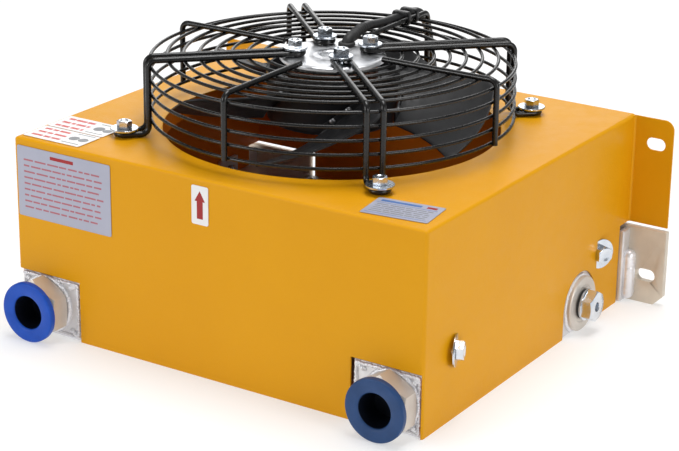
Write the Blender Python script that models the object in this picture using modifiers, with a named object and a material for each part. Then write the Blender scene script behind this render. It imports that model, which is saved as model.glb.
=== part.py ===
"""Air-blast hydraulic oil cooler, lying on its back with the fan on top.

An aluminium core with two header tanks sits in the bottom of a folded steel
shroud.  An external-rotor fan hangs under the hub plate of a wire guard.
Metres, +Z up, front ports towards -Y.  The origin is under the middle of the
whole object, without the free motor lead.
"""
import math

import bmesh
import bpy
from mathutils import Matrix, Vector

# ---------------------------------------------------------------- dimensions
WIDTH = 0.356            # shroud, left to right
DEPTH = 0.318            # shroud, front to back
HEIGHT = 0.152           # shroud, bottom edge to top face
SHEET = 0.0015           # shroud steel
GAP = 0.0003             # clearance between pieces that touch

PORT_REACH = 0.0225      # front panel to the face of a port plug
MID_Y = PORT_REACH / 2   # shroud centre and fan axis, so the origin is central
FRONT = MID_Y - DEPTH / 2
REAR = MID_Y + DEPTH / 2
SIDE = WIDTH / 2

TANK_IN = 0.121          # header tank, inner and outer faces from the middle
TANK_OUT = 0.176
TANK_TOP = 0.0465
TANK_WALL = 0.004
TANK_FRONT = FRONT + 0.0067
TANK_REAR = REAR - 0.0104
END_PLATE = 0.004

PORT_X = 0.1525
PORT_Z = 0.0238
PORT_BORE = 0.0168
PORT_HEX = 0.041         # across flats
PLUG_FLANGE = 0.0235     # radius
PLUG_THICK = 0.005       # of the flange
PLUG_HOLE = 0.013        # radius

CORE_HALF_X = 0.1207
CORE_HALF_Y = 0.148
CORE_LOW = 0.001
CORE_TOP = 0.046
AIR_ROWS = 18
AIR_CELLS = 3
TUBE_THICK = 0.0046
WEB = 0.0015
HEADER_BAR = 0.005

EAR_OUT = 0.211
EAR_LOW = 0.0643
EAR_SLOT_Z = 0.1308
BRACKET_OUT = 0.2125
BRACKET_TOP = 0.062
BRACKET_THICK = 0.0055
BRACKET_SLOT_Z = 0.0234
SLOT_X = 0.1968
SLOT_LONG = 0.016
SLOT_WIDE = 0.010
RELIEF = 0.017           # side panel cut back from the rear, below the ear

DRAIN_Y = MID_Y + 0.076
DRAIN_Z = 0.022
DRAIN_BORE = 0.007

SCREW_Z = 0.0525
SCREW_HOLE = 0.0043      # radius
SCREW_YS = (MID_Y - 0.118, MID_Y + 0.1075)

FAN_HOLE = 0.128         # radius
COLLAR_DEEP = 0.014
GUARD_R = 0.140          # ribs' centre line
LEG_WIRE = 0.0022        # radii of the two wires
RING_WIRE = 0.0013
WELD = 0.0005            # how far welded wires sink into each other
RIB_Z = 0.2105
TOP_RING_FIRST = 0.052
TOP_RING_STEP = 0.012
TOP_RINGS = 7
SIDE_RING_FIRST = 0.1629
SIDE_RING_STEP = 0.0103
SIDE_RINGS = 5
LEG_HALF = 0.006         # half the spacing of a leg's two wires
FOOT_R = 0.1575          # foot bolts from the fan axis
HUB_BOLT_R = 0.0288
BEND = 0.006

PLATE_R = 0.040
PLATE_TOP = 0.208
PLATE_THICK = 0.0035
DRUM_R = 0.050
DRUM_LOW = 0.158
DRUM_TOP = 0.198
BLADES = 5
BLADE_TIP = 0.122
BLADE_SHEET = 0.0015
BLADE_TURN = math.radians(72)

LEAD_R = 0.0035
BOOT_TILT = math.radians(20)
BOOT_X = -0.003
BOOT_Y = MID_Y + 0.024
TIE_YS = (MID_Y + 0.106, MID_Y + 0.118)

DIAGONALS = [math.radians(a) for a in (45, 135, 225, 315)]
SIDES = {"left": -1, "right": 1}


# ---------------------------------------------------------------- scene set-up
for old in list(bpy.data.objects):
    bpy.data.objects.remove(old, do_unlink=True)
PARTS = bpy.data.collections.new("hydraulic_oil_cooler")
CUTTERS = bpy.data.collections.new("cutters")
bpy.context.scene.collection.children.link(PARTS)
bpy.context.scene.collection.children.link(CUTTERS)


def material(name, colour, roughness, metallic=0.0):
    """A plain Principled material."""
    mat = bpy.data.materials.new(name)
    mat.use_nodes = True
    shader = mat.node_tree.nodes["Principled BSDF"]
    shader.inputs["Base Color"].default_value = (*colour, 1.0)
    shader.inputs["Roughness"].default_value = roughness
    shader.inputs["Metallic"].default_value = metallic
    return mat


YELLOW = (0.72, 0.38, 0.02)
ALUMINIUM = (0.62, 0.62, 0.61)
ZINC = (0.66, 0.68, 0.70)
BLACK = (0.012, 0.012, 0.013)
BLUE = (0.02, 0.10, 0.42)
IRON = (0.30, 0.30, 0.31)
COPPER = (0.45, 0.18, 0.06)
STEEL = (0.60, 0.60, 0.62)
CORE_COLOURS = ((0.35, 0.12, 0.04), (0.02, 0.08, 0.40), (0.30, 0.35, 0.03))


# ---------------------------------------------------------------- shape tools
def link(name, data, mat=None, place=(0, 0, 0), turn=(0, 0, 0)):
    """Add a named part, or a cutter when it has no material."""
    ob = bpy.data.objects.new(name, data)
    ob.location = place
    ob.rotation_euler = turn
    if mat is None:
        CUTTERS.objects.link(ob)
        ob.hide_render = True
        ob.display_type = "WIRE"
    else:
        PARTS.objects.link(ob)
        if not data.materials:
            data.materials.append(mat)
    return ob


def baked(ob):
    """The evaluated object as a plain welded mesh; the object is removed."""
    bpy.context.view_layer.update()
    graph = bpy.context.evaluated_depsgraph_get()
    mesh = bpy.data.meshes.new_from_object(ob.evaluated_get(graph))
    bm = bmesh.new()
    bm.from_mesh(mesh)
    bmesh.ops.remove_doubles(bm, verts=bm.verts, dist=0.00001)
    bmesh.ops.recalc_face_normals(bm, faces=bm.faces)
    bm.to_mesh(mesh)
    bm.free()
    mesh.transform(ob.matrix_world)
    bpy.data.objects.remove(ob, do_unlink=True)
    return mesh


def smooth(mesh, angle=math.radians(35)):
    """Smooth shading on round faces, creases kept."""
    mesh.shade_smooth()
    mesh.set_sharp_from_angle(angle=angle)


def box_mesh(low, high):
    """A box between two corners."""
    low, high = Vector(low), Vector(high)
    bm = bmesh.new()
    bmesh.ops.create_cube(bm, size=1.0)
    bmesh.ops.scale(bm, vec=high - low, verts=bm.verts)
    bmesh.ops.translate(bm, vec=(low + high) / 2, verts=bm.verts)
    mesh = bpy.data.meshes.new("box")
    bm.to_mesh(mesh)
    bm.free()
    return mesh


def rod_mesh(radius, low, high, segments=24, phase=0.0):
    """A cylinder, or a prism, along Z."""
    bm = bmesh.new()
    bmesh.ops.create_cone(bm, cap_ends=True, segments=segments, radius1=radius, radius2=radius,
                          depth=high - low)
    turn = Matrix.Translation((0, 0, (low + high) / 2)) @ Matrix.Rotation(phase, 4, "Z")
    bmesh.ops.transform(bm, matrix=turn, verts=bm.verts)
    mesh = bpy.data.meshes.new("rod")
    bm.to_mesh(mesh)
    bm.free()
    smooth(mesh)
    return mesh


def combine(target, tool, operation):
    """Join or cut one mesh object with another."""
    mod = target.modifiers.new(operation.lower(), "BOOLEAN")
    mod.operation = operation
    mod.solver = "EXACT"
    mod.object = tool
    return target


def turned(name, profile, mat, ring=False, segments=32, place=(0, 0, 0), turn=(0, 0, 0)):
    """A lathe shape: the profile of (radius, height) runs down its outer side."""
    bm = bmesh.new()
    verts = [bm.verts.new((r, 0, z)) for r, z in profile]
    for a, b in zip(verts, verts[1:]):
        bm.edges.new((a, b))
    if ring:
        bm.edges.new((verts[-1], verts[0]))
    mesh = bpy.data.meshes.new(name)
    bm.to_mesh(mesh)
    bm.free()
    ob = link(name, mesh, mat, place, turn)
    screw = ob.modifiers.new("turn", "SCREW")
    screw.steps = screw.render_steps = segments
    screw.use_merge_vertices = True
    screw.merge_threshold = 0.00001
    return ob


def outline_mesh(loops, thickness, place=(0, 0, 0), turn=(0, 0, 0)):
    """A flat outline with holes, given thickness, as a welded mesh in world space."""
    curve = bpy.data.curves.new("outline", "CURVE")
    curve.dimensions = "2D"
    curve.fill_mode = "BOTH"
    curve.extrude = thickness / 2
    for loop in loops:
        spline = curve.splines.new("POLY")
        spline.points.add(len(loop) - 1)
        for point, (x, y) in zip(spline.points, loop):
            point.co = (x, y, 0, 1)
        spline.use_cyclic_u = True
    return baked(link("outline", curve, None, place, turn))


def wires_mesh(name, paths, radius, sides=0):
    """Round wires swept along point lists; (points, closed) each."""
    curve = bpy.data.curves.new(name, "CURVE")
    curve.dimensions = "3D"
    curve.bevel_depth = radius
    curve.bevel_resolution = sides
    curve.use_fill_caps = True
    for points, closed in paths:
        spline = curve.splines.new("POLY")
        spline.points.add(len(points) - 1)
        for point, co in zip(spline.points, points):
            point.co = (*co, 1)
        spline.use_cyclic_u = closed
    return baked(link(name, curve))


def arc(centre, radius, start, end, steps):
    """Points on an arc in the plane, ends included, angles in degrees."""
    points = []
    for i in range(steps + 1):
        a = math.radians(start + (end - start) * i / steps)
        points.append((centre[0] + radius * math.cos(a), centre[1] + radius * math.sin(a)))
    return points


def slot_loop(x, z, steps=8):
    """A round-ended slot lying along X."""
    half = (SLOT_LONG - SLOT_WIDE) / 2
    right = arc((x + half, z), SLOT_WIDE / 2, -90, 90, steps)
    left = arc((x - half, z), SLOT_WIDE / 2, 90, 270, steps)
    return right + left


def hex_bolt_mesh(flats, head, washer_r, washer_t, shank_r, shank_len):
    """A hex bolt with its captive washer, seated on Z = 0, head up."""
    body = link("bolt", rod_mesh(washer_r, 0, washer_t, 16))
    hexagon = link("bolt_head", rod_mesh(flats / math.sqrt(3), washer_t / 2, washer_t + head, 6))
    shank = link("bolt_shank", rod_mesh(shank_r, -shank_len, washer_t / 2, 8))
    combine(body, hexagon, "UNION")
    combine(body, shank, "UNION")
    mesh = baked(body)
    bpy.data.objects.remove(hexagon, do_unlink=True)
    bpy.data.objects.remove(shank, do_unlink=True)
    smooth(mesh)
    return mesh


# ---------------------------------------------------------------- shroud
def make_shroud():
    """Folded sheet box, open below, with a full rear plate that carries the two ears."""
    paint = material("yellow_paint", YELLOW, 0.42)
    fold = 0.0025
    end = REAR - SHEET / 2
    bm = bmesh.new()
    bmesh.ops.create_cube(bm, size=1.0)
    bmesh.ops.scale(bm, vec=(WIDTH, end - FRONT, HEIGHT), verts=bm.verts)
    bmesh.ops.translate(bm, vec=(0, (end + FRONT) / 2, HEIGHT / 2), verts=bm.verts)
    open_faces = [f for f in bm.faces if f.normal.z < -0.5 or f.normal.y > 0.5]
    bmesh.ops.delete(bm, geom=open_faces, context="FACES")
    folds = [e for e in bm.edges if len(e.link_faces) == 2]
    bmesh.ops.bevel(bm, geom=folds, offset=fold, segments=3, profile=0.5, affect="EDGES")
    mesh = bpy.data.meshes.new("shroud")
    bm.to_mesh(mesh)
    bm.free()
    shroud = link("shroud", mesh, paint)
    wall = shroud.modifiers.new("sheet", "SOLIDIFY")
    wall.thickness = SHEET
    wall.offset = -1
    wall.use_even_offset = True

    # Rear plate, wide enough for the ears.
    top = HEIGHT - SHEET / 2
    corner = 0.008
    right = [(EAR_OUT, 0)] + arc((EAR_OUT - corner, top - corner), corner, 0, 90, 4)
    left = [(-x, z) for x, z in reversed(right)]
    loops = [right + left, slot_loop(SLOT_X, EAR_SLOT_Z), slot_loop(-SLOT_X, EAR_SLOT_Z)]
    plate = link("rear_plate", outline_mesh(loops, SHEET, (0, REAR - SHEET / 2, 0),
                                            (math.pi / 2, 0, 0)))
    collar = link("fan_collar", rod_mesh(FAN_HOLE + SHEET, HEIGHT - COLLAR_DEEP,
                                         HEIGHT - SHEET / 2, 48), place=(0, MID_Y, 0))
    combine(shroud, plate, "UNION")
    combine(shroud, collar, "UNION")
    fan_hole = link("fan_hole", rod_mesh(FAN_HOLE, HEIGHT - 0.022, HEIGHT + 0.008, 48),
                    place=(0, MID_Y, 0))
    combine(shroud, fan_hole, "DIFFERENCE")

    # Front notches for the two ports; the left one runs round onto the side panel.
    notch_in = TANK_IN - 0.0015
    notch_top = TANK_TOP + 0.0015
    past = 0.001
    notch_right = link("notch_right", box_mesh((notch_in, FRONT - past, -past),
                                               (SIDE - SHEET, FRONT + 0.004, notch_top)))
    notch_left = link("notch_left", box_mesh((-SIDE - past, FRONT - past, -past),
                                             (-notch_in, FRONT + 0.005, notch_top)))
    combine(shroud, notch_right, "DIFFERENCE")
    combine(shroud, notch_left, "DIFFERENCE")

    # Rear corners, open below the ears where the foot brackets pass.
    for side, sign in SIDES.items():
        near, far = sorted((sign * (TANK_IN - 0.003), sign * (EAR_OUT + past)))
        relief = link("relief_" + side, box_mesh((near, REAR - RELIEF, -past),
                                                 (far, REAR + past, EAR_LOW)))
        combine(shroud, relief, "DIFFERENCE")

    # Drain arch in the right panel.
    arch_r = 0.026
    arch_z = 0.021
    arch = [(DRAIN_Y - arch_r, -past), (DRAIN_Y + arch_r, -past)]
    arch += arc((DRAIN_Y, arch_z), arch_r, 0, 180, 12)
    drain_arch = link("drain_arch", outline_mesh([arch], 0.01, (SIDE, 0, 0),
                                                 (math.pi / 2, 0, math.pi / 2)))
    combine(shroud, drain_arch, "DIFFERENCE")

    for y in SCREW_YS:
        hole = link("screw_hole", rod_mesh(SCREW_HOLE, -SIDE - past, SIDE + past, 12), place=(0, y, SCREW_Z),
                    turn=(0, math.pi / 2, 0))
        combine(shroud, hole, "DIFFERENCE")
    for angle in DIAGONALS:
        x, y = FOOT_R * math.cos(angle), MID_Y + FOOT_R * math.sin(angle)
        hole = link("guard_hole", rod_mesh(0.0034, HEIGHT - 0.007, HEIGHT + past, 12), place=(x, y, 0))
        combine(shroud, hole, "DIFFERENCE")
    return shroud


# ---------------------------------------------------------------- core and tanks
def make_core():
    """Brazed stack: flat oil tubes along X with rows of air cells between them."""
    pitch = 2 * CORE_HALF_Y / AIR_ROWS
    cell = 2 * (CORE_HALF_X - HEADER_BAR) / AIR_CELLS
    loops = [[(-CORE_HALF_X, -CORE_HALF_Y), (CORE_HALF_X, -CORE_HALF_Y),
              (CORE_HALF_X, CORE_HALF_Y), (-CORE_HALF_X, CORE_HALF_Y)]]
    for row in range(AIR_ROWS):
        y0 = -CORE_HALF_Y + row * pitch + TUBE_THICK / 2
        y1 = y0 + pitch - TUBE_THICK
        for col in range(AIR_CELLS):
            x0 = -CORE_HALF_X + HEADER_BAR + col * cell + WEB / 2
            x1 = x0 + cell - WEB
            loops.append([(x0, y0), (x1, y0), (x1, y1), (x0, y1)])
    mesh = outline_mesh(loops, CORE_TOP - CORE_LOW, (0, MID_Y, (CORE_TOP + CORE_LOW) / 2))
    link("oil_core", mesh, material("oil_core", ALUMINIUM, 0.5, 0.9))
    plate = 0.003
    for name, sign in (("core_side_front", -1), ("core_side_rear", 1)):
        inner = CORE_HALF_Y + GAP
        y0, y1 = sorted((MID_Y + sign * inner, MID_Y + sign * (inner + plate)))
        side = box_mesh((-CORE_HALF_X, y0, CORE_LOW), (CORE_HALF_X, y1, CORE_TOP))
        link(name, side, material(name, ALUMINIUM, 0.5, 0.9))


def make_tank(side, sign):
    """Header tank: a channel open towards the core, with two tabs for the shroud screws."""
    inner, outer, wall = sign * TANK_IN, sign * TANK_OUT, sign * TANK_WALL
    channel = [(inner, 0), (outer, 0), (outer, TANK_TOP), (inner, TANK_TOP),
               (inner, TANK_TOP - TANK_WALL), (outer - wall, TANK_TOP - TANK_WALL),
               (outer - wall, TANK_WALL), (inner, TANK_WALL)]
    mesh = outline_mesh([channel], TANK_REAR - TANK_FRONT,
                        (0, (TANK_REAR + TANK_FRONT) / 2, 0), (math.pi / 2, 0, 0))
    tank = link("header_tank_" + side, mesh, material("header_tank_" + side, ALUMINIUM, 0.45, 0.9))
    tab_half = 0.012
    near, far = sorted((outer - sign * 0.0036, outer - sign * 0.0005))
    for y in SCREW_YS:
        tab = link("tab", box_mesh((near, y - tab_half, TANK_TOP - 0.002),
                                   (far, y + tab_half, SCREW_Z + 0.010)))
        combine(tank, tab, "UNION")
        hole = link("tab_hole", rod_mesh(SCREW_HOLE, -0.006, 0.006, 12),
                    place=(outer, y, SCREW_Z), turn=(0, math.pi / 2, 0))
        combine(tank, hole, "DIFFERENCE")
    if side == "right":
        hole = link("drain_hole", rod_mesh(DRAIN_BORE, -0.008, 0.008, 20),
                    place=(outer, DRAIN_Y, DRAIN_Z), turn=(0, math.pi / 2, 0))
        combine(tank, hole, "DIFFERENCE")

    x0, x1 = sorted((inner, outer))
    name = "tank_end_front_" + side
    y1 = TANK_FRONT - GAP
    front = link(name, box_mesh((x0, y1 - END_PLATE, 0), (x1, y1, TANK_TOP)),
                 material(name, ALUMINIUM, 0.45, 0.9))
    bore = link("oil_way", rod_mesh(PORT_BORE, -0.01, 0.01, 28),
                place=(sign * PORT_X, y1, PORT_Z), turn=(math.pi / 2, 0, 0))
    combine(front, bore, "DIFFERENCE")
    name = "tank_end_rear_" + side
    y0 = TANK_REAR + GAP
    link(name, box_mesh((x0, y0, 0), (x1, y0 + END_PLATE, TANK_TOP)),
         material(name, ALUMINIUM, 0.45, 0.9))


def make_port(side, sign):
    """Hexagonal port boss on the tank's front end, and the flanged plug in its thread."""
    seat = TANK_FRONT - END_PLATE - 2 * GAP
    hex_back = FRONT - 0.0004
    hex_face = FRONT - PORT_REACH + PLUG_THICK + GAP
    name = "port_boss_" + side
    place = (sign * PORT_X, 0, PORT_Z)
    upright = (math.pi / 2, 0, 0)        # local +Z becomes -Y
    boss = link(name, rod_mesh(PORT_HEX / math.sqrt(3), -hex_back, -hex_face, 6),
                material(name, ALUMINIUM, 0.4, 0.95), place, upright)
    neck = link("boss_neck", rod_mesh(0.021, -seat, -hex_back + 0.001, 28), place=place,
                turn=upright)
    bore = link("boss_bore", rod_mesh(PORT_BORE, -seat - 0.01, -hex_face + 0.01, 28),
                place=place, turn=upright)
    combine(boss, neck, "UNION")
    combine(boss, bore, "DIFFERENCE")

    back = -hex_face + GAP
    face = -(FRONT - PORT_REACH)
    skirt_r = PORT_BORE - 0.0004
    skirt_end = back - 0.0192
    web = 0.0025
    round_r = 0.0016
    profile = [(0, skirt_end + web), (PLUG_HOLE, skirt_end + web), (PLUG_HOLE, face - 0.0008),
               (PLUG_HOLE + 0.0008, face), (PLUG_FLANGE - round_r, face),
               (PLUG_FLANGE - round_r * 0.3, face - round_r * 0.3), (PLUG_FLANGE, face - round_r),
               (PLUG_FLANGE, back), (skirt_r, back), (skirt_r, skirt_end + 0.001),
               (skirt_r - 0.001, skirt_end), (0, skirt_end)]
    name = "port_plug_" + side
    turned(name, profile, material(name, BLUE, 0.4), segments=24, place=place, turn=upright)


def make_drain():
    """Round boss welded to the right tank, with its seal and hexagon plug."""
    outward = (0, math.pi / 2, 0)        # local +Z becomes +X
    place = (0, DRAIN_Y, DRAIN_Z)
    boss_low, boss_high, boss_r = TANK_OUT + GAP, TANK_OUT + 0.0053, 0.0217
    edge = 0.001
    turned("drain_boss", [(boss_r - edge, boss_high), (boss_r, boss_high - edge), (boss_r, boss_low),
                          (DRAIN_BORE, boss_low), (DRAIN_BORE, boss_high)],
           material("drain_boss", ALUMINIUM, 0.42, 0.95), ring=True, place=place, turn=outward)
    seal_low, seal_high = boss_high + GAP, boss_high + 0.0018
    seal_in, seal_out = 0.0077, 0.0118
    profile = [(seal_out, seal_high), (seal_out, seal_low), (seal_in, seal_low), (seal_in, seal_high)]
    turned("drain_seal", profile, material("drain_seal", BLACK, 0.7), ring=True, segments=24,
           place=place, turn=outward)
    head_low = seal_high + GAP
    flats = 0.022
    plug = link("drain_plug", rod_mesh(0.0125, head_low, head_low + 0.002, 24),
                material("drain_plug", ZINC, 0.3, 1.0), place, outward)
    hexagon = link("drain_hex", rod_mesh(flats / math.sqrt(3), head_low + 0.001, head_low + 0.010, 6),
                   place=place, turn=outward)
    shank = link("drain_shank", rod_mesh(0.0066, TANK_OUT - 0.006, head_low + 0.001, 16),
                 place=place, turn=outward)
    combine(plug, hexagon, "UNION")
    combine(plug, shank, "UNION")


def make_bracket(side, sign):
    """Aluminium foot: a rear flange with a slot, and a short leg against the tank."""
    inner, outer = TANK_IN, BRACKET_OUT
    chamfer = 0.008
    flange = [(inner, 0), (outer - chamfer, 0), (outer, chamfer), (outer, BRACKET_TOP),
              (inner, BRACKET_TOP)]
    loops = [[(sign * x, z) for x, z in flange], slot_loop(sign * SLOT_X, BRACKET_SLOT_Z)]
    mesh = outline_mesh(loops, BRACKET_THICK, (0, REAR - BRACKET_THICK / 2, 0), (math.pi / 2, 0, 0))
    name = "foot_bracket_" + side
    bracket = link(name, mesh, material(name, ALUMINIUM, 0.4, 0.95))
    near, far = sorted((sign * (TANK_OUT + 0.0004), sign * (TANK_OUT + 0.0054)))
    leg = link("bracket_leg", box_mesh((near, REAR - RELIEF + 0.0008, 0.0005),
                                       (far, REAR - BRACKET_THICK + 0.001, BRACKET_TOP - 0.002)))
    combine(bracket, leg, "UNION")


# ---------------------------------------------------------------- fan guard
def guard_point(angle, along, across, z):
    """A point given along and across a spoke that leaves the fan axis at an angle."""
    c, s = math.cos(angle), math.sin(angle)
    return (along * c - across * s, MID_Y + along * s + across * c, z)


def rib_path(angle):
    """Single rib: out from the inner ring, over the edge and down the side."""
    path = [(0.044, RIB_Z)]
    path += arc((GUARD_R - BEND, RIB_Z - BEND), BEND, 90, 0, 3)
    path += [(GUARD_R, SIDE_RING_FIRST - 0.001)]
    return [guard_point(angle, r, 0, z) for r, z in path]


def leg_path(angle):
    """Leg: one wire bent into a long loop, hooked round a hub bolt and a foot bolt."""
    foot_z = HEIGHT + LEG_WIRE + GAP
    side = arc((GUARD_R - BEND, RIB_Z - BEND), BEND, 90, 0, 3)
    side += arc((GUARD_R + BEND, foot_z + BEND), BEND, 180, 270, 3)
    out = [(r, LEG_HALF, z) for r, z in side]
    foot = [(FOOT_R + x, y, foot_z) for x, y in arc((0, 0), LEG_HALF, 90, -90, 6)]
    back = [(r, -LEG_HALF, z) for r, z in reversed(side)]
    hook = [(HUB_BOLT_R + x, y, RIB_Z) for x, y in arc((0, 0), LEG_HALF, 270, 90, 6)]
    return [guard_point(angle, *p) for p in out + foot + back + hook]


def make_guard():
    """Welded wire guard: flat rings on top, rings round the side, four ribs, four legs."""
    rings = []
    top_z = RIB_Z - LEG_WIRE - RING_WIRE + WELD
    side_r = GUARD_R - LEG_WIRE - RING_WIRE + WELD
    sizes = [(TOP_RING_FIRST + i * TOP_RING_STEP, top_z) for i in range(TOP_RINGS)]
    sizes += [(side_r, SIDE_RING_FIRST + i * SIDE_RING_STEP) for i in range(SIDE_RINGS)]
    for radius, z in sizes:
        steps = 24
        circle = [guard_point(2 * math.pi * i / steps, radius, 0, z) for i in range(steps)]
        rings.append((circle, True))
    guard = link("fan_guard", wires_mesh("rings", rings, RING_WIRE),
                 material("fan_guard", BLACK, 0.4))
    quarter = math.pi / 2
    spokes = [(rib_path(i * quarter), False) for i in range(4)]
    spokes += [(leg_path(angle), True) for angle in DIAGONALS]
    combine(guard, link("spokes", wires_mesh("spokes", spokes, LEG_WIRE)), "UNION")


# ---------------------------------------------------------------- motor and fan
def motor_ring(name, inner, outer, low, high, colour, roughness):
    """A plain metal ring on the fan axis."""
    profile = [(outer, high), (outer, low), (inner, low), (inner, high)]
    turned(name, profile, material(name, colour, roughness, 1.0), True, 24, (0, MID_Y, 0))


def make_motor():
    """External-rotor motor: the stator hangs from the hub plate, the drum turns round it."""
    axis = (0, MID_Y, 0)
    under = PLATE_TOP - PLATE_THICK
    tube_r, tube_bore, tube_low = 0.014, 0.011, 0.166
    edge = 0.0008
    profile = [(0, PLATE_TOP), (PLATE_R - edge, PLATE_TOP), (PLATE_R, PLATE_TOP - edge), (PLATE_R, under),
               (tube_r, under), (tube_r, tube_low), (tube_bore, tube_low), (tube_bore, under - 0.002),
               (0, under - 0.002)]
    plate = turned("motor_plate", profile, material("motor_plate", ALUMINIUM, 0.35, 0.95), place=axis)
    hub_hole = rod_mesh(0.0032, 0.2, 0.212, 8)
    for angle in DIAGONALS:
        hole = link("hub_hole", hub_hole, place=guard_point(angle, HUB_BOLT_R, 0, 0))
        combine(plate, hole, "DIFFERENCE")
    lead_hole = link("lead_hole", rod_mesh(0.0054, 0.2, 0.212, 16), place=(BOOT_X, BOOT_Y, 0))
    combine(plate, lead_hole, "DIFFERENCE")

    core_low, core_high = 0.172, 0.190
    core_in, core_out = tube_r + GAP, 0.036
    motor_ring("stator_core", core_in, core_out, core_low, core_high, IRON, 0.5)
    winding_in, winding_out, winding_tall = core_in + 0.003, core_out - 0.002, 0.0072
    for name, low in (("winding_lower", core_low - GAP - winding_tall), ("winding_upper", core_high + GAP)):
        motor_ring(name, winding_in, winding_out, low, low + winding_tall, COPPER, 0.4)
    motor_ring("rotor_cage", core_out + 0.001, DRUM_R - 0.0028, core_low, core_high, IRON, 0.5)
    shaft_r, shaft_top, edge, bearing_tall = 0.005, 0.201, 0.0005, 0.008
    for name, low in (("bearing_lower", 0.1675), ("bearing_upper", 0.1915)):
        motor_ring(name, shaft_r + GAP, tube_bore - GAP, low, low + bearing_tall, STEEL, 0.25)
    turned("motor_shaft", [(0, shaft_top), (shaft_r - edge, shaft_top), (shaft_r, shaft_top - edge),
                           (shaft_r, DRUM_LOW + edge), (0, DRUM_LOW + edge)],
           material("motor_shaft", STEEL, 0.25, 1.0), segments=20, place=axis)
    inside = DRUM_R - 0.0025
    hub_r = shaft_r + GAP
    turned("rotor_shell", [(DRUM_R, DRUM_TOP), (DRUM_R, DRUM_LOW + 0.003), (DRUM_R - 0.003, DRUM_LOW),
                           (hub_r, DRUM_LOW), (hub_r, DRUM_LOW + 0.003), (inside, DRUM_LOW + 0.003),
                           (inside, DRUM_TOP)],
           material("rotor_shell", BLACK, 0.5), ring=True, segments=32, place=axis)


def blade_point(u, v, lift=0.0):
    """A point on blade 1: u from root to tip, v across the chord from its low edge."""
    root_r = DRUM_R + BLADE_SHEET / 2 + 0.0010
    radius = root_r + (BLADE_TIP - root_r) * u
    low_edge = math.radians(5 - 19 * u)
    chord = math.radians(46 - 4 * u)
    angle = low_edge + chord * v
    z = 0.160 - 0.006 * u + (0.030 + 0.006 * u) * v - 0.003 * u * math.sin(math.pi * v)
    return Vector((radius * math.cos(angle), radius * math.sin(angle), z + lift))


def sheet(name, rows, thickness, mat, place, turn):
    """A sheet through a grid of points, thickened evenly on both sides."""
    bm = bmesh.new()
    grid = [[bm.verts.new(p) for p in row] for row in rows]
    for near, far in zip(grid, grid[1:]):
        for i in range(len(near) - 1):
            bm.faces.new((near[i], far[i], far[i + 1], near[i + 1]))
    mesh = bpy.data.meshes.new(name)
    bm.to_mesh(mesh)
    bm.free()
    smooth(mesh, math.radians(50))
    ob = link(name, mesh, mat, place, turn)
    wall = ob.modifiers.new("sheet", "SOLIDIFY")
    wall.thickness = thickness
    wall.offset = 0
    wall.use_even_offset = True
    return ob


def make_blades():
    """Five twisted sheet blades, each with a flap folded up against the drum."""
    columns = [i / 5 for i in range(6)]
    flap = [blade_point(0, v, 0.007) for v in columns]
    rows = [flap] + [[blade_point(u, v) for v in columns] for u in (0, 0.2, 0.4, 0.6, 0.8, 1.0)]
    for i in range(BLADES):
        name = f"fan_blade_{i + 1}"
        sheet(name, rows, BLADE_SHEET, material(name, (0.02, 0.02, 0.022), 0.45, 0.3),
              (0, MID_Y, 0), (0, 0, i * BLADE_TURN))


# ---------------------------------------------------------------- fasteners
def make_fasteners():
    """Hexagon bolts with washers: shroud sides, guard feet and hub."""
    side_bolt = hex_bolt_mesh(0.013, 0.0055, 0.012, 0.0016, 0.0039, 0.009)
    for row, y in zip(("front", "rear"), SCREW_YS):
        for side, sign in SIDES.items():
            name = f"shroud_screw_{side}_{row}"
            link(name, side_bolt.copy(), material(name, ZINC, 0.3, 1.0),
                 (sign * (SIDE + GAP), y, SCREW_Z), (0, sign * math.pi / 2, 0))
    corners = ("back_right", "back_left", "front_left", "front_right")
    foot_bolt = hex_bolt_mesh(0.010, 0.0055, 0.0105, 0.0016, 0.0029, 0.011)
    foot_top = HEIGHT + 2 * LEG_WIRE + 2 * GAP
    hub_bolt = hex_bolt_mesh(0.010, 0.0055, 0.0092, 0.0016, 0.0028, 0.0095)
    for corner, angle in zip(corners, DIAGONALS):
        name = "guard_bolt_" + corner
        link(name, foot_bolt.copy(), material(name, ZINC, 0.3, 1.0),
             guard_point(angle, FOOT_R, 0, foot_top))
        name = "hub_bolt_" + corner
        link(name, hub_bolt.copy(), material(name, ZINC, 0.3, 1.0),
             guard_point(angle, HUB_BOLT_R, 0, RIB_Z + LEG_WIRE + GAP))


# ---------------------------------------------------------------- motor lead
# The lead leaves the boot, lies on the guard's rings beside the rear rib, drops
# behind the shroud and ends on the surface that the cooler stands on.
LEAD_ROUTE = [
    (-0.0030, 0.0349, 0.2145), (-0.0032, 0.0425, 0.2165), (-0.0045, 0.0560, 0.2166),
    (-0.0058, 0.0720, 0.2145), (-0.0065, 0.0880, 0.2129), (-0.0065, 0.1080, 0.2126),
    (-0.0065, 0.1250, 0.2124), (-0.0066, 0.1390, 0.2086), (-0.0067, 0.1500, 0.1976),
    (-0.0068, 0.1550, 0.1840), (-0.0069, 0.1590, 0.1700), (-0.0070, 0.1630, 0.1560),
    (-0.0070, 0.1648, 0.1400), (-0.0070, 0.1652, 0.1150), (-0.0070, 0.1650, 0.0800),
    (-0.0074, 0.1652, 0.0480), (-0.0100, 0.1658, 0.0240), (-0.0190, 0.1670, 0.0108),
    (-0.0320, 0.1685, 0.0052), (-0.0480, 0.1700, 0.0038), (-0.0720, 0.1722, 0.0038),
    (-0.0980, 0.1735, 0.0038), (-0.1240, 0.1725, 0.0038), (-0.1480, 0.1700, 0.0038),
    (-0.1650, 0.1690, 0.0038),
]


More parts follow.
